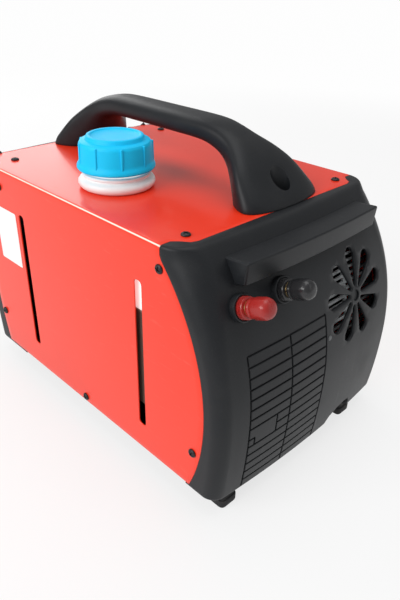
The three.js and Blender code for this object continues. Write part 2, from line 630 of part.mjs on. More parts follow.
function fuelCap() {
  const { radius, flange, skirt, height } = CAP;
  const bore = clearOf(NECK.radius);
  const ceiling = LINER_Z + 3 + GAP;
  const profile = [[bore, skirt], [flange - 2, skirt], [flange, skirt + 2], [flange, skirt + 4.5], [radius, skirt + 8],
    [radius - 0.6, height - 7], [radius - 2, height - 5.2], [27, height - 4.2], [25.5, height - 1], [24, height],
    [0, height], [0, ceiling], [bore, ceiling], [bore, skirt]];
  const origin = at(NECK.x, NECK.y, COVER_TOP);
  const body = turned(profile, origin, Z_AXIS, 2 * ROUND);
  const ribs = Array.from({ length: CAP.ribs }, (_, i) => {
    const angle = (2 * Math.PI * (i + 0.3)) / CAP.ribs;
    const reach = radius + CAP.ribHeight - 1.4;
    return rod(1.5, at(NECK.x + reach * Math.cos(angle), NECK.y + reach * Math.sin(angle), COVER_TOP), Z_AXIS,
      skirt + 3, height - 7.5, 6);
  });
  return joined(body, ...ribs);
}

// ---------------------------------------------------------------- terminals
const POST_SIDES = 16;

function postSeat(y) {
  const tilt = THREE.MathUtils.degToRad(POST.tilt);
  const direction = at(Math.cos(tilt), 0, Math.sin(tilt));
  return { point: at(faceX(REAR, POST.z) - crown(y) + 1.2, y, POST.z), direction };
}

function terminal(colour, y, plastic) {
  const { point, direction } = postSeat(y);
  const { radius, stud, length } = POST;
  const collarEnd = 8.4;
  const washerEnd = collarEnd + GAP + 1.4;
  const piece = (profile) => turned(profile, point, direction, POST_SIDES);
  const bore = clearOf(stud, POST_SIDES);
  addPiece(`post_collar_${colour}`, piece([[bore, GAP], [radius, GAP], [radius, collarEnd - 1],
    [radius - 0.8, collarEnd], [bore, collarEnd], [bore, GAP]]), plastic);
  addPiece(`post_stud_${colour}`, piece([[0, -12], [stud + 3, -12], [stud + 3, -6.5], [stud, -6.5], [stud, length - 6],
    [stud - 0.8, length - 5], [0, length - 5]]), BRASS);
  addPiece(`post_washer_${colour}`, piece([[bore, collarEnd + GAP], [radius - 1.5, collarEnd + GAP],
    [radius - 1.5, washerEnd], [bore, washerEnd], [bore, collarEnd + GAP]]), BRASS);
  const nutStart = washerEnd + GAP;
  addPiece(`post_nut_${colour}`, piece([[bore, nutStart], [radius - 1, nutStart], [radius - 0.4, nutStart + 2],
    [radius - 0.8, nutStart + 6], [radius - 0.4, length - 6], [radius - 1.4, length - 2], [radius - 4, length],
    [0, length], [0, length - 3], [bore, length - 4], [bore, nutStart]]), plastic);
}

// ---------------------------------------------------------------- grille guard behind the petals
function intakeGuard() {
  const seat = faceSeat(CORE.y, GRILLE.z);
  const place = frameAlong(seat.point, seat.direction);
  const slab = (u0, u1, v0, v1, w0, w1) => {
    const shape = new THREE.BoxGeometry(v1 - v0, u1 - u0, w1 - w0);
    return solidOf(shape.translate(-(v0 + v1) / 2, (u0 + u1) / 2, (w0 + w1) / 2));
  };
  const seated = (solid) => solidOf(geometryOf(solid).applyMatrix4(place));
  const reach = GRILLE.outer + 2;
  const back = -14;
  const front = -11.5;
  const bars = [];
  for (let v = -reach + 4; v < reach - 3; v += GRILLE.slatPitch) {
    bars.push(slab(-reach, reach, v, v + 2.4, back, front));
  }
  const rails = [slab(-reach, -reach + 3, -reach, reach, back, front), slab(reach - 3, reach, -reach, reach, back, front),
    slab(-1.5, 1.5, -reach, reach, back, front),
    slab(-reach, reach, -reach, -reach + 3, back, front), slab(-reach, reach, reach - 3, reach, back, front)];
  const face = capBody(REAR, CAP_WALL + GAP, CAP_BOTTOM + CAP_WALL + GAP, COVER_TOP - CAP_WALL - GAP, 100);
  const pillars = [[-1, -1], [-1, 1], [1, -1], [1, 1]].map(([u, v]) => slab(
    Math.min(u * reach, u * (reach - 4)), Math.max(u * reach, u * (reach - 4)),
    Math.min(v * reach, v * (reach - 4)), Math.max(v * reach, v * (reach - 4)), back, 4));
  return seated(joined(...bars, ...rails, ...pillars)).intersect(face);
}

// ---------------------------------------------------------------- burner core
const AXIS = at(0, CORE.y, CORE.z);
const EXHAUST = { x: 5, radius: 12, bore: 10 };
const AIR_INTAKE = { x: 47, radius: 12.5, bore: 10.5 };
const pipePlaces = [EXHAUST, AIR_INTAKE];
const BURNER = { front: -90, rear: 28, radius: 24, wall: 1.5, flange: 33, flangeThickness: 3 };
const EXCHANGER = { front: -150, rear: 30, core: 34, wall: 3, fins: 20, finTip: 50 };
const FUEL_STUB = { x: BURNER.rear + 2.3 + BURNER.flangeThickness / 2, y: CORE.y - 10, radius: 1.4 };
const STUB_SIDES = 12;
const MOTOR = { front: 62, rear: 104, radius: 22, plate: 3, plateHalf: 30, tabHalf: 18, ventShare: 0.35 };
const SHAFT = { radius: 2, front: 43, rear: 137 };
const SHAFT_SIDES = 16;
const SHAFT_BORE = clearOf(SHAFT.radius, SHAFT_SIDES);

function casing() {
  const { y, z, width, height, wall, front, rear } = CORE;
  const ring = (inset) => roundedRect(y - width / 2 + inset, y + width / 2 - inset, z - height / 2 + inset,
    z + height / 2 - inset, 16 - inset);
  const outer = prismX(ring(0), front, rear);
  const hollow = prismX(ring(wall), front + wall, rear + 5);
  const outletHole = rod(clearOf(OUTLET.bore + OUTLET.wall), AXIS, X_AXIS, front - 5, front + 10);
  const floor = z - height / 2;
  const holes = pipePlaces.map(({ x, radius }) => rod(clearOf(radius), at(x, y, 0), Z_AXIS, floor - 5, floor + 10));
  const stubHole = rod(clearOf(FUEL_STUB.radius, STUB_SIDES), at(FUEL_STUB.x, FUEL_STUB.y, 0), Z_AXIS, floor - 5,
    floor + 10, STUB_SIDES);
  return without(outer, hollow, outletHole, ...holes, stubHole);
}

function casingHalf(upper) {
  const { y, z, width, front, rear } = CORE;
  const edge = upper ? z + GAP / 2 : z - GAP / 2;
  const room = upper ? [edge, z + 200] : [z - 200, edge];
  return casing().intersect(box(front - 5, rear + 5, y - width, y + width, ...room));
}

function heatExchanger() {
  const { front, rear, core, wall, fins, finTip } = EXCHANGER;
  const points = [];
  for (let i = 0; i < fins; i += 1) {
    const mid = (2 * Math.PI * i) / fins;
    const finPoint = (radius, offset) => {
      const side = Math.asin(offset / radius);
      return [CORE.y + radius * Math.cos(mid + side), CORE.z + radius * Math.sin(mid + side)];
    };
    points.push(finPoint(core, -1.8), finPoint(finTip, -1), finPoint(finTip, 1), finPoint(core, 1.8));
  }
  const body = prismX(points, front, rear);
  const bore = rod(core - wall, AXIS, X_AXIS, front + 6, rear + 5);
  const floor = CORE.z - CORE.height / 2 + CORE.wall + GAP;
  const pad = box(EXHAUST.x - 17, EXHAUST.x + 17, CORE.y - 20, CORE.y + 20, floor, CORE.z - core + 2)
    .subtract(rod(core - wall, AXIS, X_AXIS, front + 6, rear + 5));
  const frontPad = box(front + 10, front + 30, CORE.y - 20, CORE.y + 20, floor, CORE.z - core + 2)
    .subtract(rod(core - wall, AXIS, X_AXIS, front + 6, rear + 5));
  const gasOutlet = rod(EXHAUST.bore, at(EXHAUST.x, CORE.y, 0), Z_AXIS, floor - 5, CORE.z - core + 12);
  const socket = rod(clearOf(EXHAUST.radius), at(EXHAUST.x, CORE.y, 0), Z_AXIS, floor - 5, floor + 5);
  return without(joined(body, pad, frontPad), bore, gasOutlet, socket);
}

const GLOW = { radius: 3.2, offsetY: 12, offsetZ: 8 };

function burnerTube() {
  const { front, rear, radius, wall, flange, flangeThickness } = BURNER;
  const seat = rear + 2 + GAP;
  const tube = turned([[radius - wall, front], [radius, front], [radius, seat], [flange, seat],
    [flange, seat + flangeThickness], [8, seat + flangeThickness], [8, seat], [radius - wall, seat - 1],
    [radius - wall, front]], AXIS, X_AXIS);
  const plugHole = rod(clearOf(GLOW.radius, 12), at(0, CORE.y + GLOW.offsetY, CORE.z + GLOW.offsetZ), X_AXIS, seat - 6,
    seat + 10, 12);
  const stub = rod(FUEL_STUB.radius, at(FUEL_STUB.x, FUEL_STUB.y, 0), Z_AXIS, 78, CORE.z - 22, STUB_SIDES);
  return tube.add(stub).subtract(plugHole);
}

function glowPlug() {
  const seat = at(0, CORE.y + GLOW.offsetY, CORE.z + GLOW.offsetZ);
  const face = BURNER.rear + 2 + GAP + BURNER.flangeThickness;
  return turned([[0, 2], [1.6, 2], [1.6, 16], [GLOW.radius, 18], [GLOW.radius, face + GAP], [4.2, face + GAP],
    [4.2, face + 3.2], [1.2, face + 3.2], [1.2, face + 6], [0, face + 6]], seat, X_AXIS, 12);
}

function fanMotor() {
  const { front, rear, radius, plate, plateHalf, tabHalf, ventShare } = MOTOR;
  const can = rod(radius, AXIS, X_AXIS, front, rear);
  const wide = CORE.width / 2 - CORE.wall - GAP;
  const tall = CORE.height / 2 - CORE.wall - GAP;
  const plateSolid = box(front, front + plate, CORE.y - wide, CORE.y + wide, CORE.z - plateHalf,
    CORE.z + plateHalf);
  const tabs = box(front, front + plate, CORE.y - tabHalf, CORE.y + tabHalf, CORE.z - tall, CORE.z + tall);
  const ventY = (radius + wide) / 2;
  const ventRadius = ventShare * (wide - radius);
  const vents = [-1, 1].map((side) =>
    rod(ventRadius, at(0, CORE.y + side * ventY, CORE.z), X_AXIS, front - 2, front + plate + 2));
  const bore = rod(SHAFT_BORE, AXIS, X_AXIS, front - 5, rear + 5, SHAFT_SIDES);
  return without(joined(can, plateSolid, tabs), ...vents, bore);
}

function combustionImpeller() {
  const disc = turned([[SHAFT_BORE, 46], [28, 46], [28, 47.5], [7, 47.5], [7, 57], [SHAFT_BORE, 57], [SHAFT_BORE, 46]],
    AXIS, X_AXIS, SHAFT_SIDES);
  const blades = Array.from({ length: 10 }, (_, i) => {
    const blade = new THREE.BoxGeometry(8, 1.2, 21).translate(50.5, 0, 16.5).rotateX((2 * Math.PI * i) / 10);
    return solidOf(blade.translate(0, CORE.y, CORE.z));
  });
  return joined(disc, ...blades);
}

function fanWheel() {
  const hub = turned([[SHAFT_BORE, 112], [13, 112], [15, 116], [15, 130], [SHAFT_BORE, 130], [SHAFT_BORE, 112]],
    AXIS, X_AXIS, SHAFT_SIDES);
  const blades = Array.from({ length: 7 }, (_, i) => {
    const blade = new THREE.BoxGeometry(20, 1.6, 36).rotateZ(0.7).translate(121, 0, 31);
    return solidOf(blade.rotateX((2 * Math.PI * i) / 7).translate(0, CORE.y, CORE.z));
  });
  return joined(hub, ...blades);
}

function controlBoard() {
  const ceiling = CORE.z + CORE.height / 2 - CORE.wall - GAP;
  const plateZ = ceiling - 9;
  const front = MOTOR.front + MOTOR.plate + 2;
  const plate = box(front, front + 42, CORE.y - 24, CORE.y + 24, plateZ, plateZ + 1.6);
  const stand = (x, y) => rod(2.5, at(x, y, 0), Z_AXIS, plateZ + 1, ceiling, 10);
  const stands = [[4, -20], [4, 20], [38, -20], [38, 20]].map(([x, y]) => stand(front + x, CORE.y + y));
  const parts = [box(front + 9, front + 19, CORE.y - 12, CORE.y + 4, plateZ + 1, plateZ + 6),
    box(front + 22, front + 34, CORE.y - 2, CORE.y + 12, plateZ + 1, plateZ + 5),
    rod(4, at(front + 28, CORE.y - 12, 0), Z_AXIS, plateZ + 1, plateZ + 7.5, 12)];
  return joined(plate, ...stands, ...parts);
}

function downPipe({ x, radius, bore }, top) {
  return turned([[bore, 8], [radius, 8], [radius, top], [bore, top], [bore, 8]], at(x, CORE.y, 0), Z_AXIS);
}

// ---------------------------------------------------------------- warm air outlet
function outletGrille() {
  const { bore, wall, flange, flangeThickness, slats } = OUTLET;
  const back = -(CORE.front + 3);
  const face = FRONT.apexX + flangeThickness;
  const away = at(-1, 0, 0);
  const tube = turned([[bore, back], [bore + wall, back], [bore + wall, face], [bore, face], [bore, back]], AXIS, away);
  const rim = turned([[bore + 1, face - 14], [flange, face - 14], [flange, face - 1.5], [flange - 1.5, face], [bore + 1, face],
    [bore + 1, face - 14]], AXIS, away, 2 * ROUND);
  const ring = tube.add(rim.subtract(turnAbout(capBody(FRONT, -GAP, CAP_BOTTOM, COVER_TOP, 100))));
  const bars = Array.from({ length: slats }, (_, i) => {
    const z = CORE.z + (i - (slats - 1) / 2) * (2 * bore / (slats + 0.6));
    const half = Math.sqrt(bore ** 2 - (z - CORE.z) ** 2) + 1;
    const slat = new THREE.BoxGeometry(12, 2 * half, 1.6).rotateY(0.35);
    return solidOf(slat.translate(8 - face, CORE.y, z));
  });
  return joined(ring, ...bars);
}

// ---------------------------------------------------------------- dosing pump and fuel lines
const HOSE = { nipple: PUMP.nozzle, bore: clearOf(PUMP.nozzle, 8), radius: 4.2, bend: 14, tankX: 62, tankY: -64 };
const pumpAt = () => at(PUMP.x, PUMP.y, PUMP.z);

const PLUNGER = { radius: 6, front: -10, sides: 16 };

function dosingPump() {
  const { radius, length, nozzle, nozzleLength, end, bore } = PUMP;
  const half = length / 2;
  const tip = half + nozzleLength;
  const body = turned([[0, -tip], [nozzle, -tip], [nozzle, -half], [radius - 2, -half], [radius, -half + 3],
    [radius, half - 3], [radius - 2, half], [nozzle, half], [nozzle, tip], [0, tip]], pumpAt(), X_AXIS);
  const { radius: plunger, sides } = PLUNGER;
  const chamber = rod(clearOf(plunger, sides), pumpAt(), X_AXIS, end - half, half - end, sides);
  const passage = rod(bore, pumpAt(), X_AXIS, -tip - 5, tip + 5, 8);
  return without(body, chamber, passage);
}

function pumpPlunger() {
  const { radius, front, sides } = PLUNGER;
  const rear = PUMP.length / 2 - PUMP.end - GAP;
  return turned([[1, front], [radius, front], [radius, rear], [1, rear], [1, front]], pumpAt(), X_AXIS, sides);
}

const SPRING = { radius: 4.2, wire: 0.6, turns: 6 };

function pumpSpring() {
  const { radius, wire, turns } = SPRING;
  const from = PUMP.end - PUMP.length / 2 + GAP + wire;
  const to = PLUNGER.front - GAP - wire;
  const steps = 8 * turns;
  const points = Array.from({ length: steps + 1 }, (_, i) => {
    const angle = (2 * Math.PI * i) / 8;
    return at(PUMP.x + from + ((to - from) * i) / steps, PUMP.y + radius * Math.cos(angle), PUMP.z + radius * Math.sin(angle));
  });
  return alongPath(points, wire, 5);
}

function pumpCradle() {
  const saddle = (x) => box(x - 5, x + 5, PUMP.y - 9, PUMP.y + 9, PAN_Z, PUMP.z - 4);
  return joined(saddle(PUMP.x - 22), saddle(PUMP.x + 22));
}
const pumpRoom = () => rod(clearOf(PUMP.radius), pumpAt(), X_AXIS, -60, 60);

function suctionLine() {
  const { tankX, tankY, bore, radius, bend } = HOSE;
  const corners = [at(tankX, tankY, TANK.low - 2), at(tankX, tankY, PUMP.z), at(PUMP.length / 2 + 3, PUMP.y, PUMP.z)];
  return hose(corners, bend, radius, bore);
}

function deliveryLine() {
  const { bore, radius, bend } = HOSE;
  const start = -PUMP.length / 2 - 3;
  const corners = [at(start, PUMP.y, PUMP.z), at(start - 31, PUMP.y, PUMP.z), at(start - 31, PUMP.y + 66, PUMP.z),
    at(FUEL_STUB.x, PUMP.y + 66, PUMP.z), at(FUEL_STUB.x, FUEL_STUB.y, PUMP.z), at(FUEL_STUB.x, FUEL_STUB.y, 88)];
  return hose(corners, bend, radius, bore);
}

// ---------------------------------------------------------------- controls on the front cap
// Distance out along -X of the front face where a button or the panel meets it.
const frontFace = (y, z) => faceX(FRONT, z) - crown(y);

const buttonPlaces = [['button_power', -1], ['button_up', 0], ['button_down', 1]].map(([name, step]) =>
  ({ name, y: PANEL.y + step * BUTTON.pitch, z: PANEL.z - PANEL.height / 2 + 14 }));

function controlPanel() {
  const { width, height, thickness, border, depth, y, z } = PANEL;
  const grown = (size) => turnAbout(capBody(FRONT, -size, CAP_BOTTOM, COVER_TOP, 100));
  const outline = (inset, radius) => roundedRect(y - width / 2 + inset, y + width / 2 - inset,
    z - height / 2 + inset, z + height / 2 - inset, radius);
  const skin = grown(thickness);
  const bezel = prismX(outline(0, 6), -FAR, -100).intersect(skin).subtract(grown(GAP));
  const tub = prismX(outline(border + 1, 3), -FAR, depth - frontFace(y, z)).intersect(skin);
  const display = prismX(roundedRect(y - 28, y + 28, z - 2, z + 21, 2), -FAR, -100).subtract(grown(thickness - 1.5));
  const wells = buttonPlaces.map((place) => rod(clearOf(BUTTON.radius), at(0, place.y, place.z), at(-1, 0, 0),
    frontFace(place.y, place.z) + thickness - BUTTON.depth, FAR));
  return without(joined(bezel, tub), display, ...wells);
}

function pushButton({ y, z }) {
  const { radius, depth, proud, travel } = BUTTON;
  const face = frontFace(y, z) + PANEL.thickness;
  const base = face - depth + travel + GAP;
  return turned([[0, base], [radius, base], [radius, face + proud - 0.6], [radius - 0.6, face + proud], [0, face + proud]],
    at(0, y, z), at(-1, 0, 0));
}

// ---------------------------------------------------------------- assembly
addPiece('shell_cover', shellCover(), RED_PAINT);
addPiece('base_pan', basePan(), DARK_STEEL);
addPiece('rear_end_cap', rearEndCap(), BLACK_PLASTIC);
addPiece('front_end_cap', frontEndCap(), BLACK_PLASTIC);
addPiece('intake_guard', intakeGuard(), GREY_PLASTIC);
addPiece('carry_handle', carryHandle(), BLACK_PLASTIC);
handleScrewSeats().forEach((seat, index) =>
  addPiece(index === 0 ? 'handle_screw_rear' : 'handle_screw_front', handleScrew(seat), DARK_STEEL));
footPlaces.forEach(({ name, x, y }) => addPiece(name, foot(x, y), RUBBER));
coverScrews().forEach(({ name, seat, out }) => addPiece(name, coverScrew(seat, out), DARK_STEEL));

addPiece('fuel_tank', fuelTank(), TANK_PLASTIC);
addPiece('neck_collar', neckCollar(), WHITE_PLASTIC);
addPiece('cap_liner', capLiner(), WHITE_PLASTIC);
addPiece('fuel_cap', fuelCap(), BLUE_PLASTIC);
addPiece('suction_line', suctionLine(), RUBBER);
addPiece('dosing_pump', dosingPump(), STEEL);
addPiece('pump_plunger', pumpPlunger(), STEEL);
addPiece('pump_spring', pumpSpring(), STEEL);
addPiece('delivery_line', deliveryLine(), RUBBER);

addPiece('heater_casing_lower', casingHalf(false), BLACK_PLASTIC);
addPiece('heater_casing_upper', casingHalf(true), BLACK_PLASTIC);
addPiece('heat_exchanger', heatExchanger(), CAST_ALUMINIUM);
addPiece('burner_tube', burnerTube(), STEEL);
addPiece('glow_plug', glowPlug(), STEEL);
addPiece('fan_motor', fanMotor(), STEEL);
addPiece('rotor_shaft', rod(SHAFT.radius, AXIS, X_AXIS, SHAFT.front, SHAFT.rear, SHAFT_SIDES), STEEL);
addPiece('fan_wheel', fanWheel(), BLACK_PLASTIC);
addPiece('combustion_impeller', combustionImpeller(), CAST_ALUMINIUM);
addPiece('control_board', controlBoard(), BOARD_GREEN);
addPiece('combustion_air_pipe', downPipe(AIR_INTAKE, CORE.z - 37), BLACK_PLASTIC);
addPiece('exhaust_pipe', downPipe(EXHAUST, CORE.z - CORE.height / 2 + CORE.wall + 5), STEEL);
addPiece('outlet_grille', outletGrille(), BLACK_PLASTIC);

terminal('red', POST.redY, RED_PLASTIC);
terminal('black', POST.blackY, BLACK_PLASTIC);
addPiece('control_panel', controlPanel(), BLACK_PLASTIC);
buttonPlaces.forEach((place) => addPiece(place.name, pushButton(place), GREY_PLASTIC));

// The origin goes to the middle of the footprint, on the floor.
const bounds = new THREE.Box3().setFromObject(part);
const middle = bounds.getCenter(new THREE.Vector3());
part.children.forEach((mesh) => mesh.geometry.translate(-middle.x, -middle.y, -bounds.min.z));

export default part;
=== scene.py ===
"""Looks of a portable diesel air heater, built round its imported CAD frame.

Sizes are in millimetres in the body's own frame, which the CAD source uses too: x runs from the
outlet end to the intake end, y from the tank side to the core side, z up from the floor.
"""

import math

import bmesh
import bpy
from mathutils import Matrix, Vector


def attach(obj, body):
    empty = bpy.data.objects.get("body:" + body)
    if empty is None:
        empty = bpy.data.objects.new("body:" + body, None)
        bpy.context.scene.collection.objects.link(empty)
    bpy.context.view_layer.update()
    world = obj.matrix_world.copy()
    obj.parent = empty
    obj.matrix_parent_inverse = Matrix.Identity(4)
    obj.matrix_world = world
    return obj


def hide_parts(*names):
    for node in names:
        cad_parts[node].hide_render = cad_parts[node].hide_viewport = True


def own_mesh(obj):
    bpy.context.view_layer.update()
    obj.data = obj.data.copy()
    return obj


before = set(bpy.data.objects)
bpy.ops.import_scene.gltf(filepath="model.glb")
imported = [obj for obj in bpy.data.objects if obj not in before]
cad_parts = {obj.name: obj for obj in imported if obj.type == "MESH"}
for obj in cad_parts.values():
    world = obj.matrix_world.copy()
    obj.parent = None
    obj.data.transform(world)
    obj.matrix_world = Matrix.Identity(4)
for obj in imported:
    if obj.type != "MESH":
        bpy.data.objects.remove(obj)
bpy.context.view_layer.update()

bl_info = {
    "name": "Diesel air heater looks",
    "version": (1, 0, 0),
    "blender": (4, 5, 0),
    "location": "View3D > Sidebar > Heater",
    "description": "Models and finishes the pieces of a portable diesel air heater",
    "category": "Object",
}

# ------------------------------------------------------------------ sizes shared with the CAD
MM = 0.001
MIDDLE_X = 3.7502  # from the body's own origin to the middle of its footprint
HALF_WIDTH = 125.0
COVER_TOP = 240.0
COVER_LOW = 24.0
CAP_LOW = 20.0
SEAM = 0.3
FOLD = 3.0
# The fold's crest also places the cover paint's painted highlight.
FOLD_CREST = (COVER_TOP - HALF_WIDTH) * MM  # height less distance from the middle at the fold, in metres
SHEET = 1.2
CAP_WALL = 3.0
CROWN_RADIUS = 1150.0
EAR_OUTER = 114.0
REAR = {
    "apex_x": 193.5, "apex_z": 96.0, "upper": 240.0, "lower": 520.0, "top_x": 141.0, "shoulder": 230.6,
    "border_x": -27.0, "border_z": 100.0, "border_radius": 195.0, "cover_x": 131.0, "ear_x": 118.0,
    "floor_x": 148.0,
}
FRONT = {
    "apex_x": 193.5, "apex_z": 96.0, "upper": 540.0, "lower": 520.0, "top_x": 174.0, "shoulder": 240.0,
    "border_x": -159.5, "border_z": 106.0, "border_radius": 326.0, "cover_x": 168.5, "ear_x": 139.0,
    "floor_x": 122.0,
}
NECK = (-8.0, -66.0)
HANDLE_X, HANDLE_Y = -21.0, 6.0
RECESS_REACH, RECESS_Y, RECESS_SEAT = 137.0, 13.5, 5
GRILLE_Y, GRILLE_Z, PETALS = 53.0, 158.5, 9
PLUG_Y, PLUG_Z, PLUG_LEAN = 7.9, 135, (0.98, 0, 0.16)
OUTLET_Y, OUTLET_Z, OUTLET_RADIUS = 53.0, 150.0, 34.4
POST_Z, POST_TILT = 196.0, math.radians(22)
POSTS = {"red": -89.5, "black": -45.0}
STUD_BORE = 3.35
PANEL_Y, PANEL_Z = -56.0, 172.0
KEYS = {"power": PANEL_Y - 17, "up": PANEL_Y, "down": PANEL_Y + 17}
KEY_Z, SCREEN_Z, FASCIA = PANEL_Z - 15, PANEL_Z + 9.5, 3.5
SIDE_SCREWS = [(-124, 221), (118, 221), (-156, 64), (156.5, 64), (0, 30)]
TOP_SCREWS = [(-136, 98), (117.5, 98)]
SLOTS = [(-88, 52, 201), (91, 52, 201)]
SLOT_HALF = 4.5
FOOT_X = {"rear": 165.5, "front": -137.0}
FOOT_Y = {"tank_side": -99, "core_side": 81}
PLATE = (-139, 140, -98.5, 199)
LOUVRES = {"left": -93, "middle": -44, "right": 3, "low": 22, "high": 159, "rows": 14}
BARE = {"left": -86, "right": -60, "low": 72, "high": 90}
SPRING = {"y": -64, "z": 42, "radius": 4.2, "wire": 0.6, "turns": 6, "start": -29.1, "end": -10.9,
          "anchor": -30, "keep": 0.873, "steps": 24}
CAMERA = {"azimuth": 44.91, "elevation": 30.06, "roll": 1.35, "lens": 34.74,
          "place": (0.40433, -0.37282, 0.41548)}
LAMPS = [  # name, place, size, share of the key light's power
    ("key", (-0.2, -2.0, 1.3), (1.7, 1.2), 1.3),
    ("top", (0.1, 0.2, 2.1), (1.5, 1.5), 0.55),
    ("rim", (1.6, 0.9, 1.1), (0.6, 1.3), 0.05),
    ("far", (-1.7, 0.6, 0.9), (1.0, 1.0), 0.3),
]
LAMP_AIM = (0, 0, 0.12)
UP, OUTWARDS = Vector((0, 0, 1)), (-1, 0, 0)
UNMOVED = Matrix.Identity(4)


def at(x, y, z):
    """A point of the body's own frame, in metres from the frame's origin."""
    return Vector(((x - MIDDLE_X) * MM, y * MM, z * MM))


NECK_SEAT = Matrix.Translation(at(*NECK, COVER_TOP))


# ------------------------------------------------------------------ working with bpy.ops
def select_only(*objects):
    if bpy.context.mode != "OBJECT":
        bpy.ops.object.mode_set(mode="OBJECT")
    bpy.ops.object.select_all(action="DESELECT")
    for obj in objects:
        obj.select_set(True)
        bpy.context.view_layer.objects.active = obj


def edit(obj):
    """Enters edit mode with everything selected."""
    select_only(obj)
    bpy.ops.object.mode_set(mode="EDIT")
    bpy.ops.mesh.select_all(action="SELECT")


def leave():
    bpy.ops.object.mode_set(mode="OBJECT")


def modified(obj, kind, **settings):
    """Adds a modifier, sets it and applies it."""
    select_only(obj)
    modifier = obj.modifiers.new(kind, kind)
    for name, value in settings.items():
        setattr(modifier, name, value)
    bpy.ops.object.modifier_apply(modifier=modifier.name)
    return obj


def rounded_edges(obj, width, segments=2, angle=40):
    return modified(
        obj, "BEVEL", width=width * MM, segments=segments, limit_method="ANGLE",
        angle_limit=math.radians(angle), use_clamp_overlap=True,
    )


def discard(obj):
    mesh = obj.data
    bpy.data.objects.remove(obj)
    bpy.data.meshes.remove(mesh)


def cut(obj, *tools, operation="DIFFERENCE"):
    for tool in tools:
        modified(obj, "BOOLEAN", operation=operation, object=tool, solver="MANIFOLD")
        discard(tool)
    return obj


def merged(obj, *others):
    return cut(obj, *others, operation="UNION")


def named(name):
    """The object that an operator has just made, under its name."""
    obj = bpy.context.object
    obj.name = obj.data.name = name
    return obj


def copy_of(obj, matrix, name=None):
    twin = obj.copy()
    twin.data = obj.data.copy()
    bpy.context.scene.collection.objects.link(twin)
    twin.data.transform(matrix)
    if name:
        twin.name = twin.data.name = name
    return twin


def along(origin, direction):
    """The matrix that stands a piece's own z axis on a direction."""
    turn = UP.rotation_difference(Vector(direction).normalized())
    return Matrix.Translation(origin) @ turn.to_matrix().to_4x4()


def sheet(name, rows, outward=None):
    """A grid whose rows of vertices take the given places, in metres."""
    across, down = len(rows[0]), len(rows)
    bpy.ops.object.select_all(action="DESELECT")
    bpy.ops.mesh.primitive_grid_add(x_subdivisions=across - 1, y_subdivisions=down - 1, size=1)
    obj = named(name)
    flat = [c for row in rows for point in row for c in point]
    obj.data.vertices.foreach_set("co", flat)
    obj.data.update()
    edit(obj)
    bpy.ops.mesh.remove_doubles(threshold=0.01 * MM)
    leave()
    if outward is not None:
        middle = obj.data.polygons[len(obj.data.polygons) // 2]
        if middle.normal.dot(Vector(outward)) < 0:
            edit(obj)
            bpy.ops.mesh.flip_normals()
            leave()
    return obj


def loft(name, rings):
    """A closed body through a list of closed rings with equal point counts, in metres."""
    obj = sheet(name, [[*ring, ring[0]] for ring in rings])
    edit(obj)
    bpy.ops.mesh.select_all(action="DESELECT")
    bpy.ops.mesh.select_non_manifold()
    bpy.ops.mesh.fill_holes(sides=0)
    bpy.ops.mesh.select_all(action="SELECT")
    bpy.ops.mesh.normals_make_consistent(inside=False)
    leave()
    return obj


def spun(name, profile, place, sides=48):
    """A profile of (radius, height) pairs in mm, drawn point by point and spun about its axis."""
    bpy.ops.object.select_all(action="DESELECT")
    bpy.ops.mesh.primitive_plane_add(size=MM)
    obj = named(name)
    bpy.ops.object.mode_set(mode="EDIT")
    bpy.ops.mesh.select_all(action="SELECT")
    bpy.ops.mesh.merge(type="CENTER")
    here = Vector()
    for index, (radius, height) in enumerate(profile):
        step = Vector((radius * MM, 0, height * MM)) - here
        here += step
        if index == 0:
            bpy.ops.transform.translate(value=step)
        else:
            bpy.ops.mesh.extrude_vertices_move(TRANSFORM_OT_translate={"value": step})
    bpy.ops.mesh.select_all(action="SELECT")
    bpy.ops.mesh.spin(steps=sides, angle=2 * math.pi, center=(0, 0, 0), axis=(0, 0, 1))
    bpy.ops.mesh.select_all(action="SELECT")
    bpy.ops.mesh.remove_doubles(threshold=0.005 * MM)
    bpy.ops.mesh.normals_make_consistent(inside=False)
    leave()
    obj.data.transform(place)
    return obj


def bar(name, size, centre, rounding=0.0, turn=UNMOVED):
    """A block with rounded edges, size and centre in mm about the given turn."""
    bpy.ops.object.select_all(action="DESELECT")
    bpy.ops.mesh.primitive_cube_add(size=1, scale=[s * MM for s in size])
    obj = named(name)
    bpy.ops.object.transform_apply(location=False, rotation=False, scale=True)
    if rounding:
        rounded_edges(obj, rounding, 3)
    obj.data.transform(Matrix.Translation(centre) @ turn)
    return obj


def finished(obj, body, slot, material, *nodes, smooth=35):
    """The last steps of every new piece: shading, material, body, and hiding the CAD nodes it stands for; its
    slot is not used.
    """
    select_only(obj)
    bpy.ops.object.shade_smooth_by_angle(angle=math.radians(smooth))
    obj.data.materials.clear()
    obj.data.materials.append(material)
    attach(obj, body)
    if nodes:
        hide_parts(*nodes)
    return obj


# ------------------------------------------------------------------ outlines
def rectangle(low_a, low_b, high_a, high_b):
    return [(low_a, low_b), (high_a, low_b), (high_a, high_b), (low_a, high_b)]


def angles(count):
    """A full turn in equal steps, without the last, which is the first again."""
    return [2 * math.pi * k / count for k in range(count)]


def rounded_outline(points, radius, steps=5):
    """A closed outline with each corner rounded by the radius."""
    made = []
    count = len(points)
    for i, corner in enumerate(points):
        here = Vector(corner)
        back = Vector(points[i - 1]) - here
        ahead = Vector(points[(i + 1) % count]) - here
        half_angle = back.angle(ahead) / 2
        reach = min(radius / math.tan(half_angle), 0.45 * back.length, 0.45 * ahead.length)
        start, end = here + back.normalized() * reach, here + ahead.normalized() * reach
        for k in range(steps + 1):
            t = k / steps
            made.append(tuple(start * (1 - t) ** 2 + here * 2 * t * (1 - t) + end * t**2))
    return made


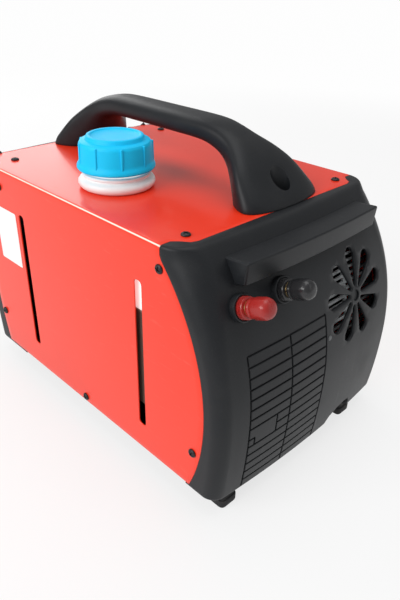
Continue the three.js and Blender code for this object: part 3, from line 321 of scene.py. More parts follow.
def grown(points, amount):
    """A closed outline moved outwards by an amount, for outlines that run anticlockwise."""
    made = []
    for i, point in enumerate(points):
        back = Vector(points[i - 1])
        ahead = Vector(points[(i + 1) % len(points)])
        run = (ahead - back).normalized()
        made.append((point[0] + run.y * amount, point[1] - run.x * amount))
    return made


def resampled(points, count):
    """Points spread evenly along an open line."""
    lengths = [0.0]
    for a, b in zip(points, points[1:]):
        lengths.append(lengths[-1] + math.dist(a, b))
    made, leg = [], 0
    for k in range(count):
        target = lengths[-1] * k / (count - 1)
        while leg < len(points) - 2 and lengths[leg + 1] < target:
            leg += 1
        span = max(lengths[leg + 1] - lengths[leg], 1e-9)
        t = min(max((target - lengths[leg]) / span, 0), 1)
        made.append(tuple(a + (b - a) * t for a, b in zip(points[leg], points[leg + 1])))
    return made


def layered(name, outline, layers, place):
    """A body that holds a closed outline at each layer's distance, grown by the layer's amount."""
    return loft(name, [[place(*point, out) for point in grown(outline, growth)] for out, growth in layers])


def between(value, stops):
    """Straight-line reading of a list of (input, output) stops."""
    if value <= stops[0][0]:
        return stops[0][1]
    for (a, low), (b, high) in zip(stops, stops[1:]):
        if value <= b:
            return low + (high - low) * (value - a) / (b - a)
    return stops[-1][1]


def spread(low, high, count):
    return [low + (high - low) * i / (count - 1) for i in range(count)]


# ------------------------------------------------------------------ end cap surfaces
def face_x(end, z):
    radius = end["upper"] if z > end["apex_z"] else end["lower"]
    centre = end["apex_x"] - radius

    def arc(height):
        return centre + math.sqrt(radius**2 - (height - end["apex_z"]) ** 2)

    if z <= end["shoulder"]:
        return arc(z)
    share = max((COVER_TOP - z) / (COVER_TOP - end["shoulder"]), 0)
    return end["top_x"] + (arc(end["shoulder"]) - end["top_x"]) * share**0.8


def crown(y):
    return y * y / (2 * CROWN_RADIUS)


def corner_radius(end, z):
    rise = min(max((z - 140) / 90, 0), 1)
    return min(14 + 16 * rise**2, face_x(end, z) - end["ear_x"] - 2)


def side_border(end, z):
    """Where the cover's side stops, at height z."""
    if z < COVER_LOW - SEAM / 2:
        return end["floor_x"]
    arc = end["border_x"] + math.sqrt(end["border_radius"] ** 2 - (z - end["border_z"]) ** 2)
    return max(arc, end["ear_x"])


def top_border(end, y):
    """Where the cover's top stops, at a distance from the middle line."""
    ear, top = end["ear_x"], end["cover_x"]
    stops = [(98, top), (104, (ear + 5 * top) / 6), (109, (2 * ear + top) / 3), (EAR_OUTER, ear)]
    return between(abs(y), stops)


def on_face(y, z, out=0.0):
    """A point at a distance off the intake end's face."""
    radius = REAR["upper"] if z > REAR["apex_z"] else REAR["lower"]
    tilt = math.asin((z - REAR["apex_z"]) / radius)
    return at(face_x(REAR, z) - crown(y) + out * math.cos(tilt), y, z + out * math.sin(tilt))


SIDE_COLUMNS, FACE_COLUMNS = 20, 36


def cap_row(end, z, side_inset, face_inset, low_border=None):
    """One level of an end cap, from border to border: side, corner, face, corner, side."""
    half = HALF_WIDTH - side_inset
    radius = max(corner_radius(end, z) - max(side_inset, face_inset), 1.0)
    turn_y = half - radius
    turn_x = face_x(end, z) - face_inset - crown(turn_y) - radius
    border = (low_border or side_border(end, z)) + SEAM
    line = [(min(border, turn_x) - 1, -half), (turn_x, -half)]
    for i in range(1, 25):
        angle = math.pi / 2 * i / 24
        line.append((turn_x + radius * math.sin(angle), -turn_y - radius * math.cos(angle)))
    kept = [p for p in line if p[0] > border]
    before = [p for p in line if p[0] <= border][-1]
    share = (border - before[0]) / (kept[0][0] - before[0])
    kept.insert(0, (border, before[1] + (kept[0][1] - before[1]) * share))
    left = resampled(kept, SIDE_COLUMNS)
    front = face_x(end, z) - face_inset
    middle = [(front - crown(y), y) for y in spread(-turn_y, turn_y, FACE_COLUMNS)][1:-1]
    right = [(x, -y) for x, y in reversed(left)]
    row = left + middle + right
    if z > COVER_TOP - 1.5:
        row = [(max(x, top_border(end, y) + SEAM), y) for x, y in row]
    return [(x, y, z) for x, y in row]


def wall_row(end, z, line):
    """A wall's inner row: the line from the side to the face, the straight middle, the mirrored line."""
    left = resampled(line, SIDE_COLUMNS)
    x, y = line[-1]
    middle = [(x, level) for level in spread(y, -y, FACE_COLUMNS)][1:-1]
    right = [(px, -py) for px, py in reversed(left)]
    return [(px, py, z) for px, py in left + middle + right]


def top_inset(z, edge):
    """How far the rounded top edge of a cap's face lies behind the face, at height z."""
    reach = max(z - COVER_TOP + edge, 0)
    return edge - math.sqrt(max(edge**2 - reach**2, 0))


def cap_rows(end, edge):
    """All rows of an end cap: floor wall, rounded lower edge, face, rounded top edge, top wall."""
    low_round, steps = 3.4, 6
    half = HALF_WIDTH - low_round
    low = side_border(end, CAP_LOW) + SEAM
    rows = [wall_row(end, CAP_LOW, [(low, -half), (low, -half + 30)])]
    for i in range(steps):
        turn = math.pi / 2 * i / steps
        inset = low_round * (1 - math.sin(turn))
        z = CAP_LOW + low_round * (1 - math.cos(turn))
        rows.append(cap_row(end, z, inset, inset))
    levels = [COVER_LOW - SEAM] + spread(COVER_LOW, COVER_TOP - FOLD, 50)
    for z in levels:
        rows.append(cap_row(end, z, 0, top_inset(z, edge)))
    for i in range(1, steps + 1):
        turn = math.pi / 2 * i / steps
        z = COVER_TOP - FOLD + FOLD * math.sin(turn)
        rows.append(cap_row(end, z, FOLD * (1 - math.cos(turn)), top_inset(z, edge)))
    ear = end["ear_x"] + SEAM
    line = [(ear, -HALF_WIDTH + FOLD), (ear, -EAR_OUTER)]
    line += [(top_border(end, y) + SEAM, -y) for y in (109, 104, 98)]
    rows.append(wall_row(end, COVER_TOP, line))
    return rows


def cap_shell(name, end, edge):
    rows = [[at(*point) for point in row] for row in cap_rows(end, edge)]
    obj = sheet(name, rows, outward=(1, 0, 0))
    modified(obj, "SOLIDIFY", thickness=CAP_WALL * MM, offset=-1)
    return rounded_edges(obj, 1.1, 3, angle=65)


def groove(points, width, depth):
    """A tool that follows the intake face along a line of (y, z) points."""
    half = width / 2
    section = [(-half - 0.45, 2), (-half - 0.45, 0.05), (-half, -0.45), (-half, -depth),
               (half, -depth), (half, -0.45), (half + 0.45, 0.05), (half + 0.45, 2)]
    (y0, z0), (y1, z1) = points[0], points[-1]
    run = Vector((y1 - y0, z1 - z0)).normalized()
    rings = []
    for y, z in resampled(points, max(int(math.dist(points[0], points[-1]) / 5), 3)):
        rings.append([on_face(y - run.y * s, z + run.x * s, out) for s, out in section])
    return loft("tool", rings)


def face_pocket(outline, layers):
    """A tool with a (y, z) outline that follows the face; layers are (distance off the face, growth)."""
    return layered("tool", outline, layers, on_face)


def through_x(outline, *places):
    """A tool that runs along x through a (y, z) outline."""
    return layered("tool", outline, [(x, 0) for x in places], lambda y, z, x: at(x, y, z))


def petal_outline(angle):
    inner, centre, tip = 10.5, 36.6, 7.0
    points = [(-1.5, inner), (-1.1, inner - 0.9), (0, inner - 1.3), (1.1, inner - 0.9), (1.5, inner)]
    points += [(1.5 + (tip - 1.5) * t**0.9, inner + (centre - inner) * t) for t in spread(0.125, 1, 8)]
    points += [(tip * math.cos(a), centre + tip * math.sin(a)) for a in spread(0.15, math.pi - 0.15, 18)]
    points += [(-1.5 - (tip - 1.5) * t**0.9, inner + (centre - inner) * t) for t in spread(1, 0.125, 8)]
    rise = math.cos(math.asin((GRILLE_Z - REAR["apex_z"]) / REAR["upper"]))
    turned = [(u * math.cos(angle) - v * math.sin(angle), u * math.sin(angle) + v * math.cos(angle))
              for u, v in points]
    return [(GRILLE_Y + u, GRILLE_Z + v * rise) for u, v in turned]


def circle(y, z, radius):
    return [(y + radius * math.cos(a), z + radius * math.sin(a)) for a in angles(40)]


def louvre_lines():
    """The grooves of the louvre field: level lines in two columns, uprights and a bare plate's outline."""
    left, middle, right, low, high, rows = LOUVRES.values()
    cell, edge, bottom, top = BARE.values()
    lines = []
    for i in range(rows + 1):
        z = low + (high - low) * i / rows
        start = edge if bottom < z < top else left
        lines.append([(start, z), (right, z)])
    lines += [[(y, low), (y, high)] for y in (left, middle, right)]
    foot, shelf = bottom - 1.1, bottom + 7
    lines += [[(edge, foot), (edge, top + 0.5)], [(cell, foot), (cell, shelf)], [(left, shelf), (cell, shelf)]]
    return lines


def visor():
    """The long lip across the top of the intake face, rounded along its edges and at its ends."""
    back = face_x(REAR, REAR["shoulder"]) - 1.2
    corners = [(back - 4, 222), (161, 209.5), (173.2, 213.4), (175, 232), (back, 230.2)]
    section = rounded_outline(corners, 1.8, 6)
    ends = [(88, 1.5), (87.8, 0.9), (87.3, 0.4), (86.6, 0.1), (85.8, 0)]
    stations = [(-y, -inset) for y, inset in ends]
    stations += [(y, 0) for y in spread(-80, 80, 30)]
    stations += [(y, -inset) for y, inset in reversed(ends)]
    return layered("visor", section, stations, lambda x, z, y: at(x - crown(y), y, z))


def post_place(y):
    """Where a terminal stands, its own z axis along the terminal's."""
    direction = (math.cos(POST_TILT), 0, math.sin(POST_TILT))
    return along(at(face_x(REAR, POST_Z) - crown(y) + 1.2, y, POST_Z), direction)


def rear_cap(material):
    obj = cap_shell("rear_cap_shell", REAR, 1.5)
    chamfer = [(4, 1.3), (0.05, 1.3), (-0.4, 0.6), (-1.0, 0.15), (-1.8, 0), (-9, 0)]
    petals = [face_pocket(petal_outline(angle), chamfer) for angle in angles(PETALS)]
    hub_ring = face_pocket(circle(GRILLE_Y, GRILLE_Z, 5.0), [(4, 0.5), (0.05, 0.5), (-0.5, 0), (-1.6, 0)])
    grooves = [groove(line, 1.5, 1.3) for line in louvre_lines()]
    notch_corners = [(22, 12), (70, 12), (69.5, 29), (66, 34), (58, 35), (46, 34), (33, 29.5), (26, 22)]
    notch = through_x(rounded_outline(notch_corners, 3), 180, 215)
    merged(obj, visor())
    for y in POSTS.values():
        place = post_place(y)
        boss = [(0, -5), (11, -5), (11, -0.6), (10.4, 0), (0, 0)]
        rim = [(9.3, -2), (11, -2), (11.4, 1.6), (11.2, 2.9), (10.6, 3.4), (9.8, 3.3), (9.3, 2.6), (9.3, -2)]
        merged(obj, spun("boss", boss, place))
        merged(obj, spun("boss_rim", rim, place))
        cut(obj, spun("tool", [(0, -12), (STUD_BORE, -12), (STUD_BORE, 6), (0, 6)], place, 24))
    cut(obj, *petals, hub_ring, *grooves, notch)
    return finished(obj, "body", "black_plastic", material, "rear_end_cap")


def face_plug(material):
    """A small grey plug between the louvres and the grille."""
    profile = [(0, -0.4), (2.4, -0.4), (2.4, 0.2), (1.8, 0.6), (0, 0.7)]
    obj = spun("face_plug", profile, along(on_face(PLUG_Y, PLUG_Z), PLUG_LEAN), 24)
    return finished(obj, "body", "button_plastic", material)


def front_cap(material):
    obj = cap_shell("front_cap_shell", FRONT, 3.0)
    origin = at(0, 0, 0)
    turn = Matrix.Rotation(math.pi, 4, "Z")
    obj.data.transform(Matrix.Translation(origin) @ turn @ Matrix.Translation(-origin))
    duct = [(0, -225), (OUTLET_RADIUS, -225), (OUTLET_RADIUS, -150), (0, -150)]
    outlet = spun("tool", duct, along(at(0, OUTLET_Y, OUTLET_Z), (1, 0, 0)), 96)
    hole = rectangle(PANEL_Y - 40, PANEL_Z - 23, PANEL_Y + 40, PANEL_Z + 23)
    cut(obj, outlet, through_x(rounded_outline(hole, 3), -215, -150))
    return finished(obj, "body", "black_plastic", material, "front_end_cap")


# ------------------------------------------------------------------ folded cover
def cover_path():
    """The cover's folded section as (y, z, is on top), from one lower edge to the other."""
    side = [(-HALF_WIDTH, z) for z in spread(COVER_LOW, COVER_TOP - FOLD, 44)]
    fold = [(-HALF_WIDTH + FOLD - FOLD * math.cos(a), COVER_TOP - FOLD + FOLD * math.sin(a))
            for a in spread(0, math.pi / 2, 9)][1:]
    top = [(y, COVER_TOP) for y in (-118, -114, -111.5, -109, -106.5, -104, -101, -98)]
    top += [(y, COVER_TOP) for y in spread(-90, 0, 9)]
    half = side + fold + top
    return half + [(-y, z) for y, z in reversed(half[:-1])]


def cover_reach(end, y, z):
    return top_border(end, y) if z > COVER_TOP - 1e-6 else side_border(end, z)


def tank_side(x, z, out):
    """A point at a distance from the middle line, on the tank's side."""
    return at(x, -out, z)


def shell_cover(material):
    rows = []
    for y, z in cover_path():
        front, rear = -cover_reach(FRONT, y, z), cover_reach(REAR, y, z)
        rows.append([at(x, y, z) for x in spread(front, rear, 48)])
    obj = sheet("cover_sheet", rows, outward=(0, 0, 1))
    modified(obj, "SOLIDIFY", thickness=SHEET * MM, offset=-1, use_even_offset=True)
    rounded_edges(obj, 0.25, 2, angle=65)
    tools = []
    for x, low, high in SLOTS:
        corners = rectangle(x - SLOT_HALF, low, x + SLOT_HALF, high)
        outline = rounded_outline(corners, SLOT_HALF - 0.05, 10)
        layers = [(HALF_WIDTH + 3, 0.3), (HALF_WIDTH + 0.02, 0.3), (HALF_WIDTH - 0.3, 0), (HALF_WIDTH - 6, 0)]
        tools.append(layered("tool", outline, layers, tank_side))
    neck = [(0, -6), (29.5, -6), (29.5, -0.3), (29.8, 0.02), (29.8, 5), (0, 5)]
    tools.append(spun("tool", neck, NECK_SEAT, 96))
    cut(obj, *tools)
    return finished(obj, "body", "cover_paint", material, "shell_cover", smooth=30)


# ------------------------------------------------------------------ carry handle
def handle_lines():
    """The handle's outer and inner curves from the intake end's foot to the outlet end's, in pairs."""
    outer = [(154, 0), (154, 1.7), (153, 2.3), (151.2, 5), (147, 9.5), (141, 15.5), (134, 22.5), (127, 29.5),
             (119, 36.5), (110, 43.5), (100, 49.5), (90, 54), (78, 57.2), (64, 58.8), (40, 59.2), (0, 59.2)]
    inner = [(106, 0), (104.8, 2.2), (103.4, 4.6), (101, 8), (98.6, 13.5), (96.2, 19), (93, 24.4), (89.4, 29),
             (85, 32.5), (80, 35), (74, 37), (68, 38.4), (60, 39.3), (48, 39.6), (28, 39.6), (0, 39.6)]
    half = list(zip(resampled(spline(outer), 46), resampled(spline(inner), 46)))
    other = [((-a, b), (-c, d)) for (a, b), (c, d) in reversed(half[:-1])]
    return half + other


def spline(points, steps=6):
    """A smooth line through the points."""
    made = []
    for i in range(len(points) - 1):
        p = [Vector(points[max(min(i + k, len(points) - 1), 0)]) for k in (-1, 0, 1, 2)]
        for s in range(steps):
            t = s / steps
            bend = 2 * p[0] - 5 * p[1] + 4 * p[2] - p[3]
            twist = 3 * p[1] - p[0] - 3 * p[2] + p[3]
            made.append(tuple(0.5 * (2 * p[1] + (p[2] - p[0]) * t + bend * t**2 + twist * t**3)))
    return made + [tuple(points[-1])]


SQUARENESS = 0.7  # power of the superellipse that is the handle's section; 1 is an ellipse
# Half widths of the handle at distances from its middle, on the tank's side and on the other.
HANDLE_NEAR = [(0, 19), (84, 19), (92, 19.6), (99, 21), (106, 24), (113, 28), (120, 33), (127, 37), (134, 40),
               (140, 42), (145, 42), (149, 40), (152, 37), (154, 32)]
HANDLE_FAR = [(0, 19), (84, 19), (92, 20.5), (99, 24), (106, 30), (113, 37), (120, 43.5), (127, 49),
              (134, 53), (140, 56), (145, 57), (149, 56), (152, 53), (154, 48)]


def carry_handle(material):
    rings = []
    for (ox, oz), (ix, iz) in handle_lines():
        ring = []
        for angle in angles(44):
            lean = math.copysign(abs(math.cos(angle)) ** SQUARENESS, math.cos(angle))
            side = math.copysign(abs(math.sin(angle)) ** SQUARENESS, math.sin(angle))
            share = (1 + lean) / 2
            x, z = ix + (ox - ix) * share, iz + (oz - iz) * share
            y = between(abs(x), HANDLE_NEAR if side < 0 else HANDLE_FAR) * side
            ring.append(at(HANDLE_X + x, HANDLE_Y + y, COVER_TOP + SEAM + z))
        rings.append(ring)
    obj = loft("handle_body", rings)
    rounded_edges(obj, 0.5, 2, angle=60)
    for side in (1, -1):
        x = HANDLE_X + side * RECESS_REACH
        rings = []
        for z, more in ((RECESS_SEAT, -1.4), (RECESS_SEAT + 0.5, -0.5), (RECESS_SEAT + 1.5, 0), (60, 0)):
            rings.append([at(x + (8.5 + more) * math.cos(a), RECESS_Y + (10 + more) * math.sin(a),
                             COVER_TOP + SEAM + z) for a in angles(48)])
        cut(obj, loft("tool", rings))
        soften_rim(obj, at(x, RECESS_Y, COVER_TOP + 20), 0.022)
    return finished(obj, "body", "black_plastic", material, "carry_handle", smooth=40)


def soften_rim(obj, centre, reach):
    """Rounds the sharp edges near a point, as a moulding's rim is."""
    edit(obj)
    bpy.ops.mesh.select_mode(type="EDGE")
    bpy.ops.mesh.select_all(action="DESELECT")
    mesh = bmesh.from_edit_mesh(obj.data)
    for edge in mesh.edges:
        middle = (edge.verts[0].co + edge.verts[1].co) / 2
        near = (middle - centre).length < reach and middle.z > COVER_TOP * MM + 0.009
        edge.select = near and edge.is_manifold and edge.calc_face_angle() > math.radians(28)
    bmesh.update_edit_mesh(obj.data)
    bpy.ops.mesh.bevel(offset=0.8 * MM, segments=3, affect="EDGES", clamp_overlap=True)
    bpy.ops.mesh.select_mode(type="VERT")
    leave()


# ------------------------------------------------------------------ filler cap and neck
def fuel_cap(material, ribs):
    profile = [(27.3, 17), (33.4, 17), (34.6, 17.4), (35.2, 18.4), (35.1, 20), (34.3, 21.6), (33.4, 22.9),
               (32.9, 25), (32.5, 37.8), (32.1, 39.4), (31.1, 40.9), (29.6, 41.7), (27.2, 42), (26.5, 42.2),
               (26.1, 42.8), (25.8, 44.5), (25.2, 45.5), (24.2, 46), (22.6, 46), (21.8, 45.7), (21.2, 45),
               (20.4, 44.7), (8, 44.4), (0, 44.4), (0, 33.6), (27.3, 33.6), (27.3, 17)]
    obj = spun("filler_cap", profile, NECK_SEAT, 120)
    rib = bar("rib", (3.2, 2.3, 18.6), Vector(), 0.9)
    for i in range(ribs):
        turn = Matrix.Rotation(2 * math.pi * (i + 0.3) / ribs, 4, "Z")
        merged(obj, copy_of(rib, Matrix.Translation(at(*NECK, COVER_TOP + 31.2)) @ turn
                            @ Matrix.Translation((32.2 * MM, 0, 0)) @ Matrix.Rotation(-0.02, 4, "Y")))
    discard(rib)
    return finished(obj, "filler_cap", "blue_plastic", material, "fuel_cap", smooth=28)


def neck_collar(material):
    profile = [(27.3, 0.3), (31.2, 0.3), (32.6, 0.9), (34, 2.4), (34.8, 4.6), (34.5, 6.6), (33.4, 8.2),
               (31.8, 9.2), (30.4, 9.8), (30, 10.4), (30.4, 11), (31, 11.8), (31.2, 13), (30.8, 13.7),
               (30, 14), (27.3, 14), (27.3, 0.3)]
    obj = spun("filler_neck_ring", profile, NECK_SEAT, 96)
    return finished(obj, "body", "white_plastic", material, "neck_collar", smooth=40)


def cap_liner(material):
    profile = [(0, 30.3), (25.7, 30.3), (26.4, 30.7), (26.5, 32), (25.8, 32.3), (6, 32.3), (5, 33.3),
               (0, 33.3)]
    obj = spun("cap_seal", profile, NECK_SEAT, 64)
    return finished(obj, "liner", "white_plastic", material, "cap_liner")


# ------------------------------------------------------------------ terminals
def post_collar(name, place):
    """A short sleeve with rings round it."""
    profile = [(STUD_BORE, 0.3), (8.6, 0.3), (9, 0.6)]
    for start in (0.9, 2.5, 4.1, 5.7):
        profile += [(9, start), (9, start + 0.7), (8.3, start + 1.0), (8.3, start + 1.3)]
    profile += [(9, 7.4), (8.7, 8.1), (8.2, 8.4), (STUD_BORE, 8.4), (STUD_BORE, 0.3)]
    return spun(name, profile, place)


def post_nut(name, place):
    """An eight-sided nut with soft corners, a waist and a rounded tip."""
    stations = [(10.4, 7.4, 8), (11.0, 7.9, 12), (12.6, 8.2, 12), (13.4, 7.9, 12), (14.2, 7.8, 9),
                (15.4, 8.5, 5), (17, 8.6, 4), (23, 8.6, 4), (25.6, 8.5, 5), (27.6, 7.9, 7), (29.3, 6.6, 10),
                (30.3, 5, 16), (30.7, 3.2, 24)]
    rings = []
    for height, radius, power in stations:
        ring = []
        for angle in angles(64):
            flat = (angle + math.pi / 8) % (math.pi / 4) - math.pi / 8
            facet = 1 / math.cos(flat)
            blend = 1 / (1 + power / 4)
            r = radius * (1 - blend + blend * min(facet, 1.06)) / 1.03
            ring.append(Vector((r * math.cos(angle) * MM, r * math.sin(angle) * MM, height * MM)))
        rings.append(ring)
    obj = loft(name, rings)
    cut(obj, spun("tool", [(0, 9), (STUD_BORE, 9), (STUD_BORE, 28.5), (0, 28.5)], UNMOVED, 32))
    obj.data.transform(place)
    return obj


def stud_profile():
    """A flat head inside the cap, a shank with 24 thread crests and a rounded end."""
    profile = [(0, -12), (5.8, -12), (5.8, -6.5), (3, -6.5), (3, 0)]
    for turn in range(24):
        profile += [(3, 0.3 + turn * 1.05), (2.65, 0.82 + turn * 1.05)]
    return profile + [(3, 25.8), (2.2, 27), (0, 27.4)]


def terminals(finishes):
    washer = [(STUD_BORE, 8.7), (6.3, 8.7), (6.6, 9.0), (6.6, 9.8), (6.3, 10.1), (STUD_BORE, 10.1),
              (STUD_BORE, 8.7)]
    brass = finishes["brass"]
    for colour, y in POSTS.items():
        place = post_place(y)
        plastic, slot = finishes[colour]
        sleeve = post_collar(f"terminal_sleeve_{colour}", place)
        finished(sleeve, "body", slot, plastic, f"post_collar_{colour}")
        nut = post_nut(f"terminal_nut_{colour}", place)
        finished(nut, f"{colour}_nut", slot, plastic, f"post_nut_{colour}", smooth=30)
        ring = spun(f"terminal_washer_{colour}", washer, place)
        finished(ring, f"{colour}_washer", "brass", brass, f"post_washer_{colour}")
        stud = spun(f"terminal_stud_{colour}", stud_profile(), place, 32)
        finished(stud, "body", "brass", brass, f"post_stud_{colour}")


# ------------------------------------------------------------------ screws and feet
def screw_model(head, height, shank, length):
    """A screw with a low domed head and a cross recess, standing on the origin."""
    profile = [(0, -length), (shank, -length), (shank, SEAM), (head, SEAM), (head, 0.36 * height),
               (0.93 * head, 0.62 * height), (0.74 * head, 0.87 * height), (0.42 * head, height), (0, height)]
    obj = spun("screw", profile, UNMOVED, 32)
    for turn in (0, math.pi / 2):
        blade = bar("tool", (1.25 * head, 0.26 * head, 1.1 * height), (0, 0, 0.95 * height * MM), 0,
                    Matrix.Rotation(turn, 4, "Z"))
        cut(obj, blade)
    return obj


def cover_screws(material, head_radius):
    model = screw_model(head_radius, 2.2, 2.0, 8.0)
    for sign, label in ((-1, "tank_side"), (1, "core_side")):
        seats = [(f"{label}_{i + 1}", at(x, sign * HALF_WIDTH, z), Vector((0, sign, 0)))
                 for i, (x, z) in enumerate(SIDE_SCREWS)]
        seats += [(f"top_{label}_{i + 1}", at(x, sign * y, COVER_TOP), UP)
                  for i, (x, y) in enumerate(TOP_SCREWS)]
        for index, (name, seat, out) in enumerate(seats):
            spin = Matrix.Rotation(0.7 * index + sign, 4, "Z")
            twin = copy_of(model, along(seat, out) @ spin, f"screw_{name}")
            finished(twin, "body", "screw_black", material, f"cover_screw_{name}")
    discard(model)


def handle_screws(material):
    model = screw_model(4.6, 3.6, 2.4, 15.0)
    for side, name in ((1, "rear"), (-1, "front")):
        seat = at(HANDLE_X + side * RECESS_REACH, RECESS_Y, COVER_TOP + SEAM + RECESS_SEAT)
        twin = copy_of(model, Matrix.Translation(seat), f"handle_bolt_{name}")
        finished(twin, "body", "screw_black", material, f"handle_screw_{name}")
    discard(model)


def feet(material):
    outline = rounded_outline(rectangle(-13, -10, 13, 10), 5)
    levels = [(0, -1.4), (0.3, -0.7), (0.9, -0.15), (1.8, 0), (7.6, 0), (8.2, -0.3), (8.6, -1.3), (9.4, -1.6),
              (18.6, -1.6), (19.3, -1.3), (19.7, -0.8)]
    stem = [(0, 15), (4, 15), (4, 22.8), (0, 22.8)]
    for end, x in FOOT_X.items():
        for side, y in FOOT_Y.items():
            pad = layered(f"foot_pad_{end}_{side}", outline, levels, lambda a, b, z: at(x + a, y + b, z))
            merged(pad, spun("stem", stem, Matrix.Translation(at(x, y, 0)), 24))
            finished(pad, "body", "rubber", material, f"foot_{end}_{side}")


# ------------------------------------------------------------------ label and controls
def blank_label(material):
    layers = [(HALF_WIDTH + 0.02, 0), (HALF_WIDTH + 0.3, 0), (HALF_WIDTH + 0.42, -0.15)]
    obj = layered("blank_plate", rounded_outline(rectangle(*PLATE), 2.0), layers, tank_side)
    return finished(obj, "body", "white_plastic", material)


def front_face(y, z, out=0.0):
    """A point at a distance off the outlet end's face."""
    return at(-(face_x(FRONT, z) - crown(y) + out), y, z)


def panel_piece(name, width, height, centre, radius, low, high, soft=0.6):
    """A plate that follows the outlet end's face between two distances off it."""
    y, z = centre
    corners = rectangle(y - width / 2, z - height / 2, y + width / 2, z + height / 2)
    layers = [(low, 0), (high - soft, 0), (high - 0.3 * soft, -0.3 * soft), (high, -soft)]
    return layered(name, rounded_outline(corners, radius, 6), layers, front_face)


def control_panel(plastic, glass, glow):
    obj = panel_piece("control_fascia", 92, 58, (PANEL_Y, PANEL_Z), 6, 0.3, FASCIA, 1.2)
    merged(obj, panel_piece("tub", 78, 44, (PANEL_Y, PANEL_Z), 3, -12, 1.0))
    cut(obj, panel_piece("tool", 56, 23, (PANEL_Y, SCREEN_Z), 2, 2.0, 6))
    well = [(0, -4.5), (5.3, -4.5), (5.3, 3.1), (5.8, 3.6), (5.8, 8), (0, 8)]
    for y in KEYS.values():
        cut(obj, spun("tool", well, along(front_face(y, KEY_Z), OUTWARDS), 40))
    finished(obj, "body", "black_plastic", plastic, "control_panel")
    screen = panel_piece("display_glass", 55.4, 22.4, (PANEL_Y, SCREEN_Z), 1.8, 2.05, 2.9, 0.3)
    finished(screen, "body", "black_plastic", glass)
    display_digits(glow)


def keys(plastic, mark):
    """The three keys, each with its raised sign."""
    base, face = FASCIA - 8 + 1.2 + 0.3, FASCIA + 2.2
    profile = [(0, base), (5, base), (5, face - 0.9), (4.7, face - 0.3), (4.1, face), (3.2, face - 0.15),
               (1.6, face - 0.45), (0, face - 0.5)]
    for name, y in KEYS.items():
        seat = front_face(y, KEY_Z)
        key = spun(f"key_{name}", profile, along(seat, OUTWARDS), 40)
        finished(key, f"{name}_button", "button_plastic", plastic, f"button_{name}")
        finished(key_mark(name, seat, face), f"{name}_button", "white_plastic", mark)


def key_mark(name, seat, face):
    """The raised sign on a key: a ring with a stroke, or a triangle."""
    start, end = face - 0.62, face - 0.12
    if name == "power":
        ring = [(1.5, start), (2.0, start), (2.0, end), (1.5, end), (1.5, start)]
        obj = spun("key_mark_power", ring, along(seat, OUTWARDS), 32)
        middle = seat + Vector((-(start + 0.25) * MM, 0, 1.9 * MM))
        return merged(obj, bar("stroke", (0.5, 0.5, 1.9), middle, 0.1))
    sign = 1 if name == "up" else -1
    corners = [(-1.7, -1.1 * sign), (1.7, -1.1 * sign), (0, 1.9 * sign)]
    if sign < 0:
        corners.reverse()
    outline = rounded_outline(corners, 0.3, 3)
    rings = [[seat + Vector((-out * MM, a * MM, b * MM)) for a, b in outline] for out in (start, end)]
    return loft(f"key_mark_{name}", rings)


def display_digits(glow):
    """Two seven-stroke figures, as a thermostat shows."""
    strokes = {"2": "abged", "0": "abcdef"}
    bars = {"a": (0, 5, 4.2, 0.9), "g": (0, 0, 4.2, 0.9), "d": (0, -5, 4.2, 0.9), "b": (2.6, 2.5, 0.9, 4.2),
            "c": (2.6, -2.5, 0.9, 4.2), "f": (-2.6, 2.5, 0.9, 4.2), "e": (-2.6, -2.5, 0.9, 4.2)}
    made = []
    for index, figure in enumerate("20"):
        for stroke in strokes[figure]:
            dy, dz, width, height = bars[stroke]
            centre = (PANEL_Y - (dy + (index - 0.5) * 9.5), SCREEN_Z + dz)
            made.append(panel_piece("display_bar", width, height, centre, 0.35, 2.92, 3.04, 0.05))
    select_only(*made)
    bpy.ops.object.join()
    finished(named("display_figures"), "body", "white_plastic", glow)


# ------------------------------------------------------------------ shader arithmetic
class Value:
    """A shader socket that takes part in Python arithmetic."""

    def __init__(self, finish, socket):
        self.finish = finish
        self.socket = socket

    def math(self, operation, *others, clamp=False):
        sockets = dict(enumerate((self, *others)))
        return self.finish.node("ShaderNodeMath", {"operation": operation, "use_clamp": clamp}, sockets)

    def __add__(self, other):
        return self.math("ADD", other)

    def __sub__(self, other):
        return self.math("SUBTRACT", other)

    def __rsub__(self, other):
        return self.math("MULTIPLY_ADD", -1.0, other)

    def __mul__(self, other):
        return self.math("MULTIPLY", other)

    __radd__ = __add__
    __rmul__ = __mul__

    def step(self, low, high):
        """0 below low, 1 above high, smooth between."""
        sockets = {"Value": self, "From Min": low, "From Max": high}
        return self.finish.node("ShaderNodeMapRange", {"interpolation_type": "SMOOTHSTEP"}, sockets, "Result")


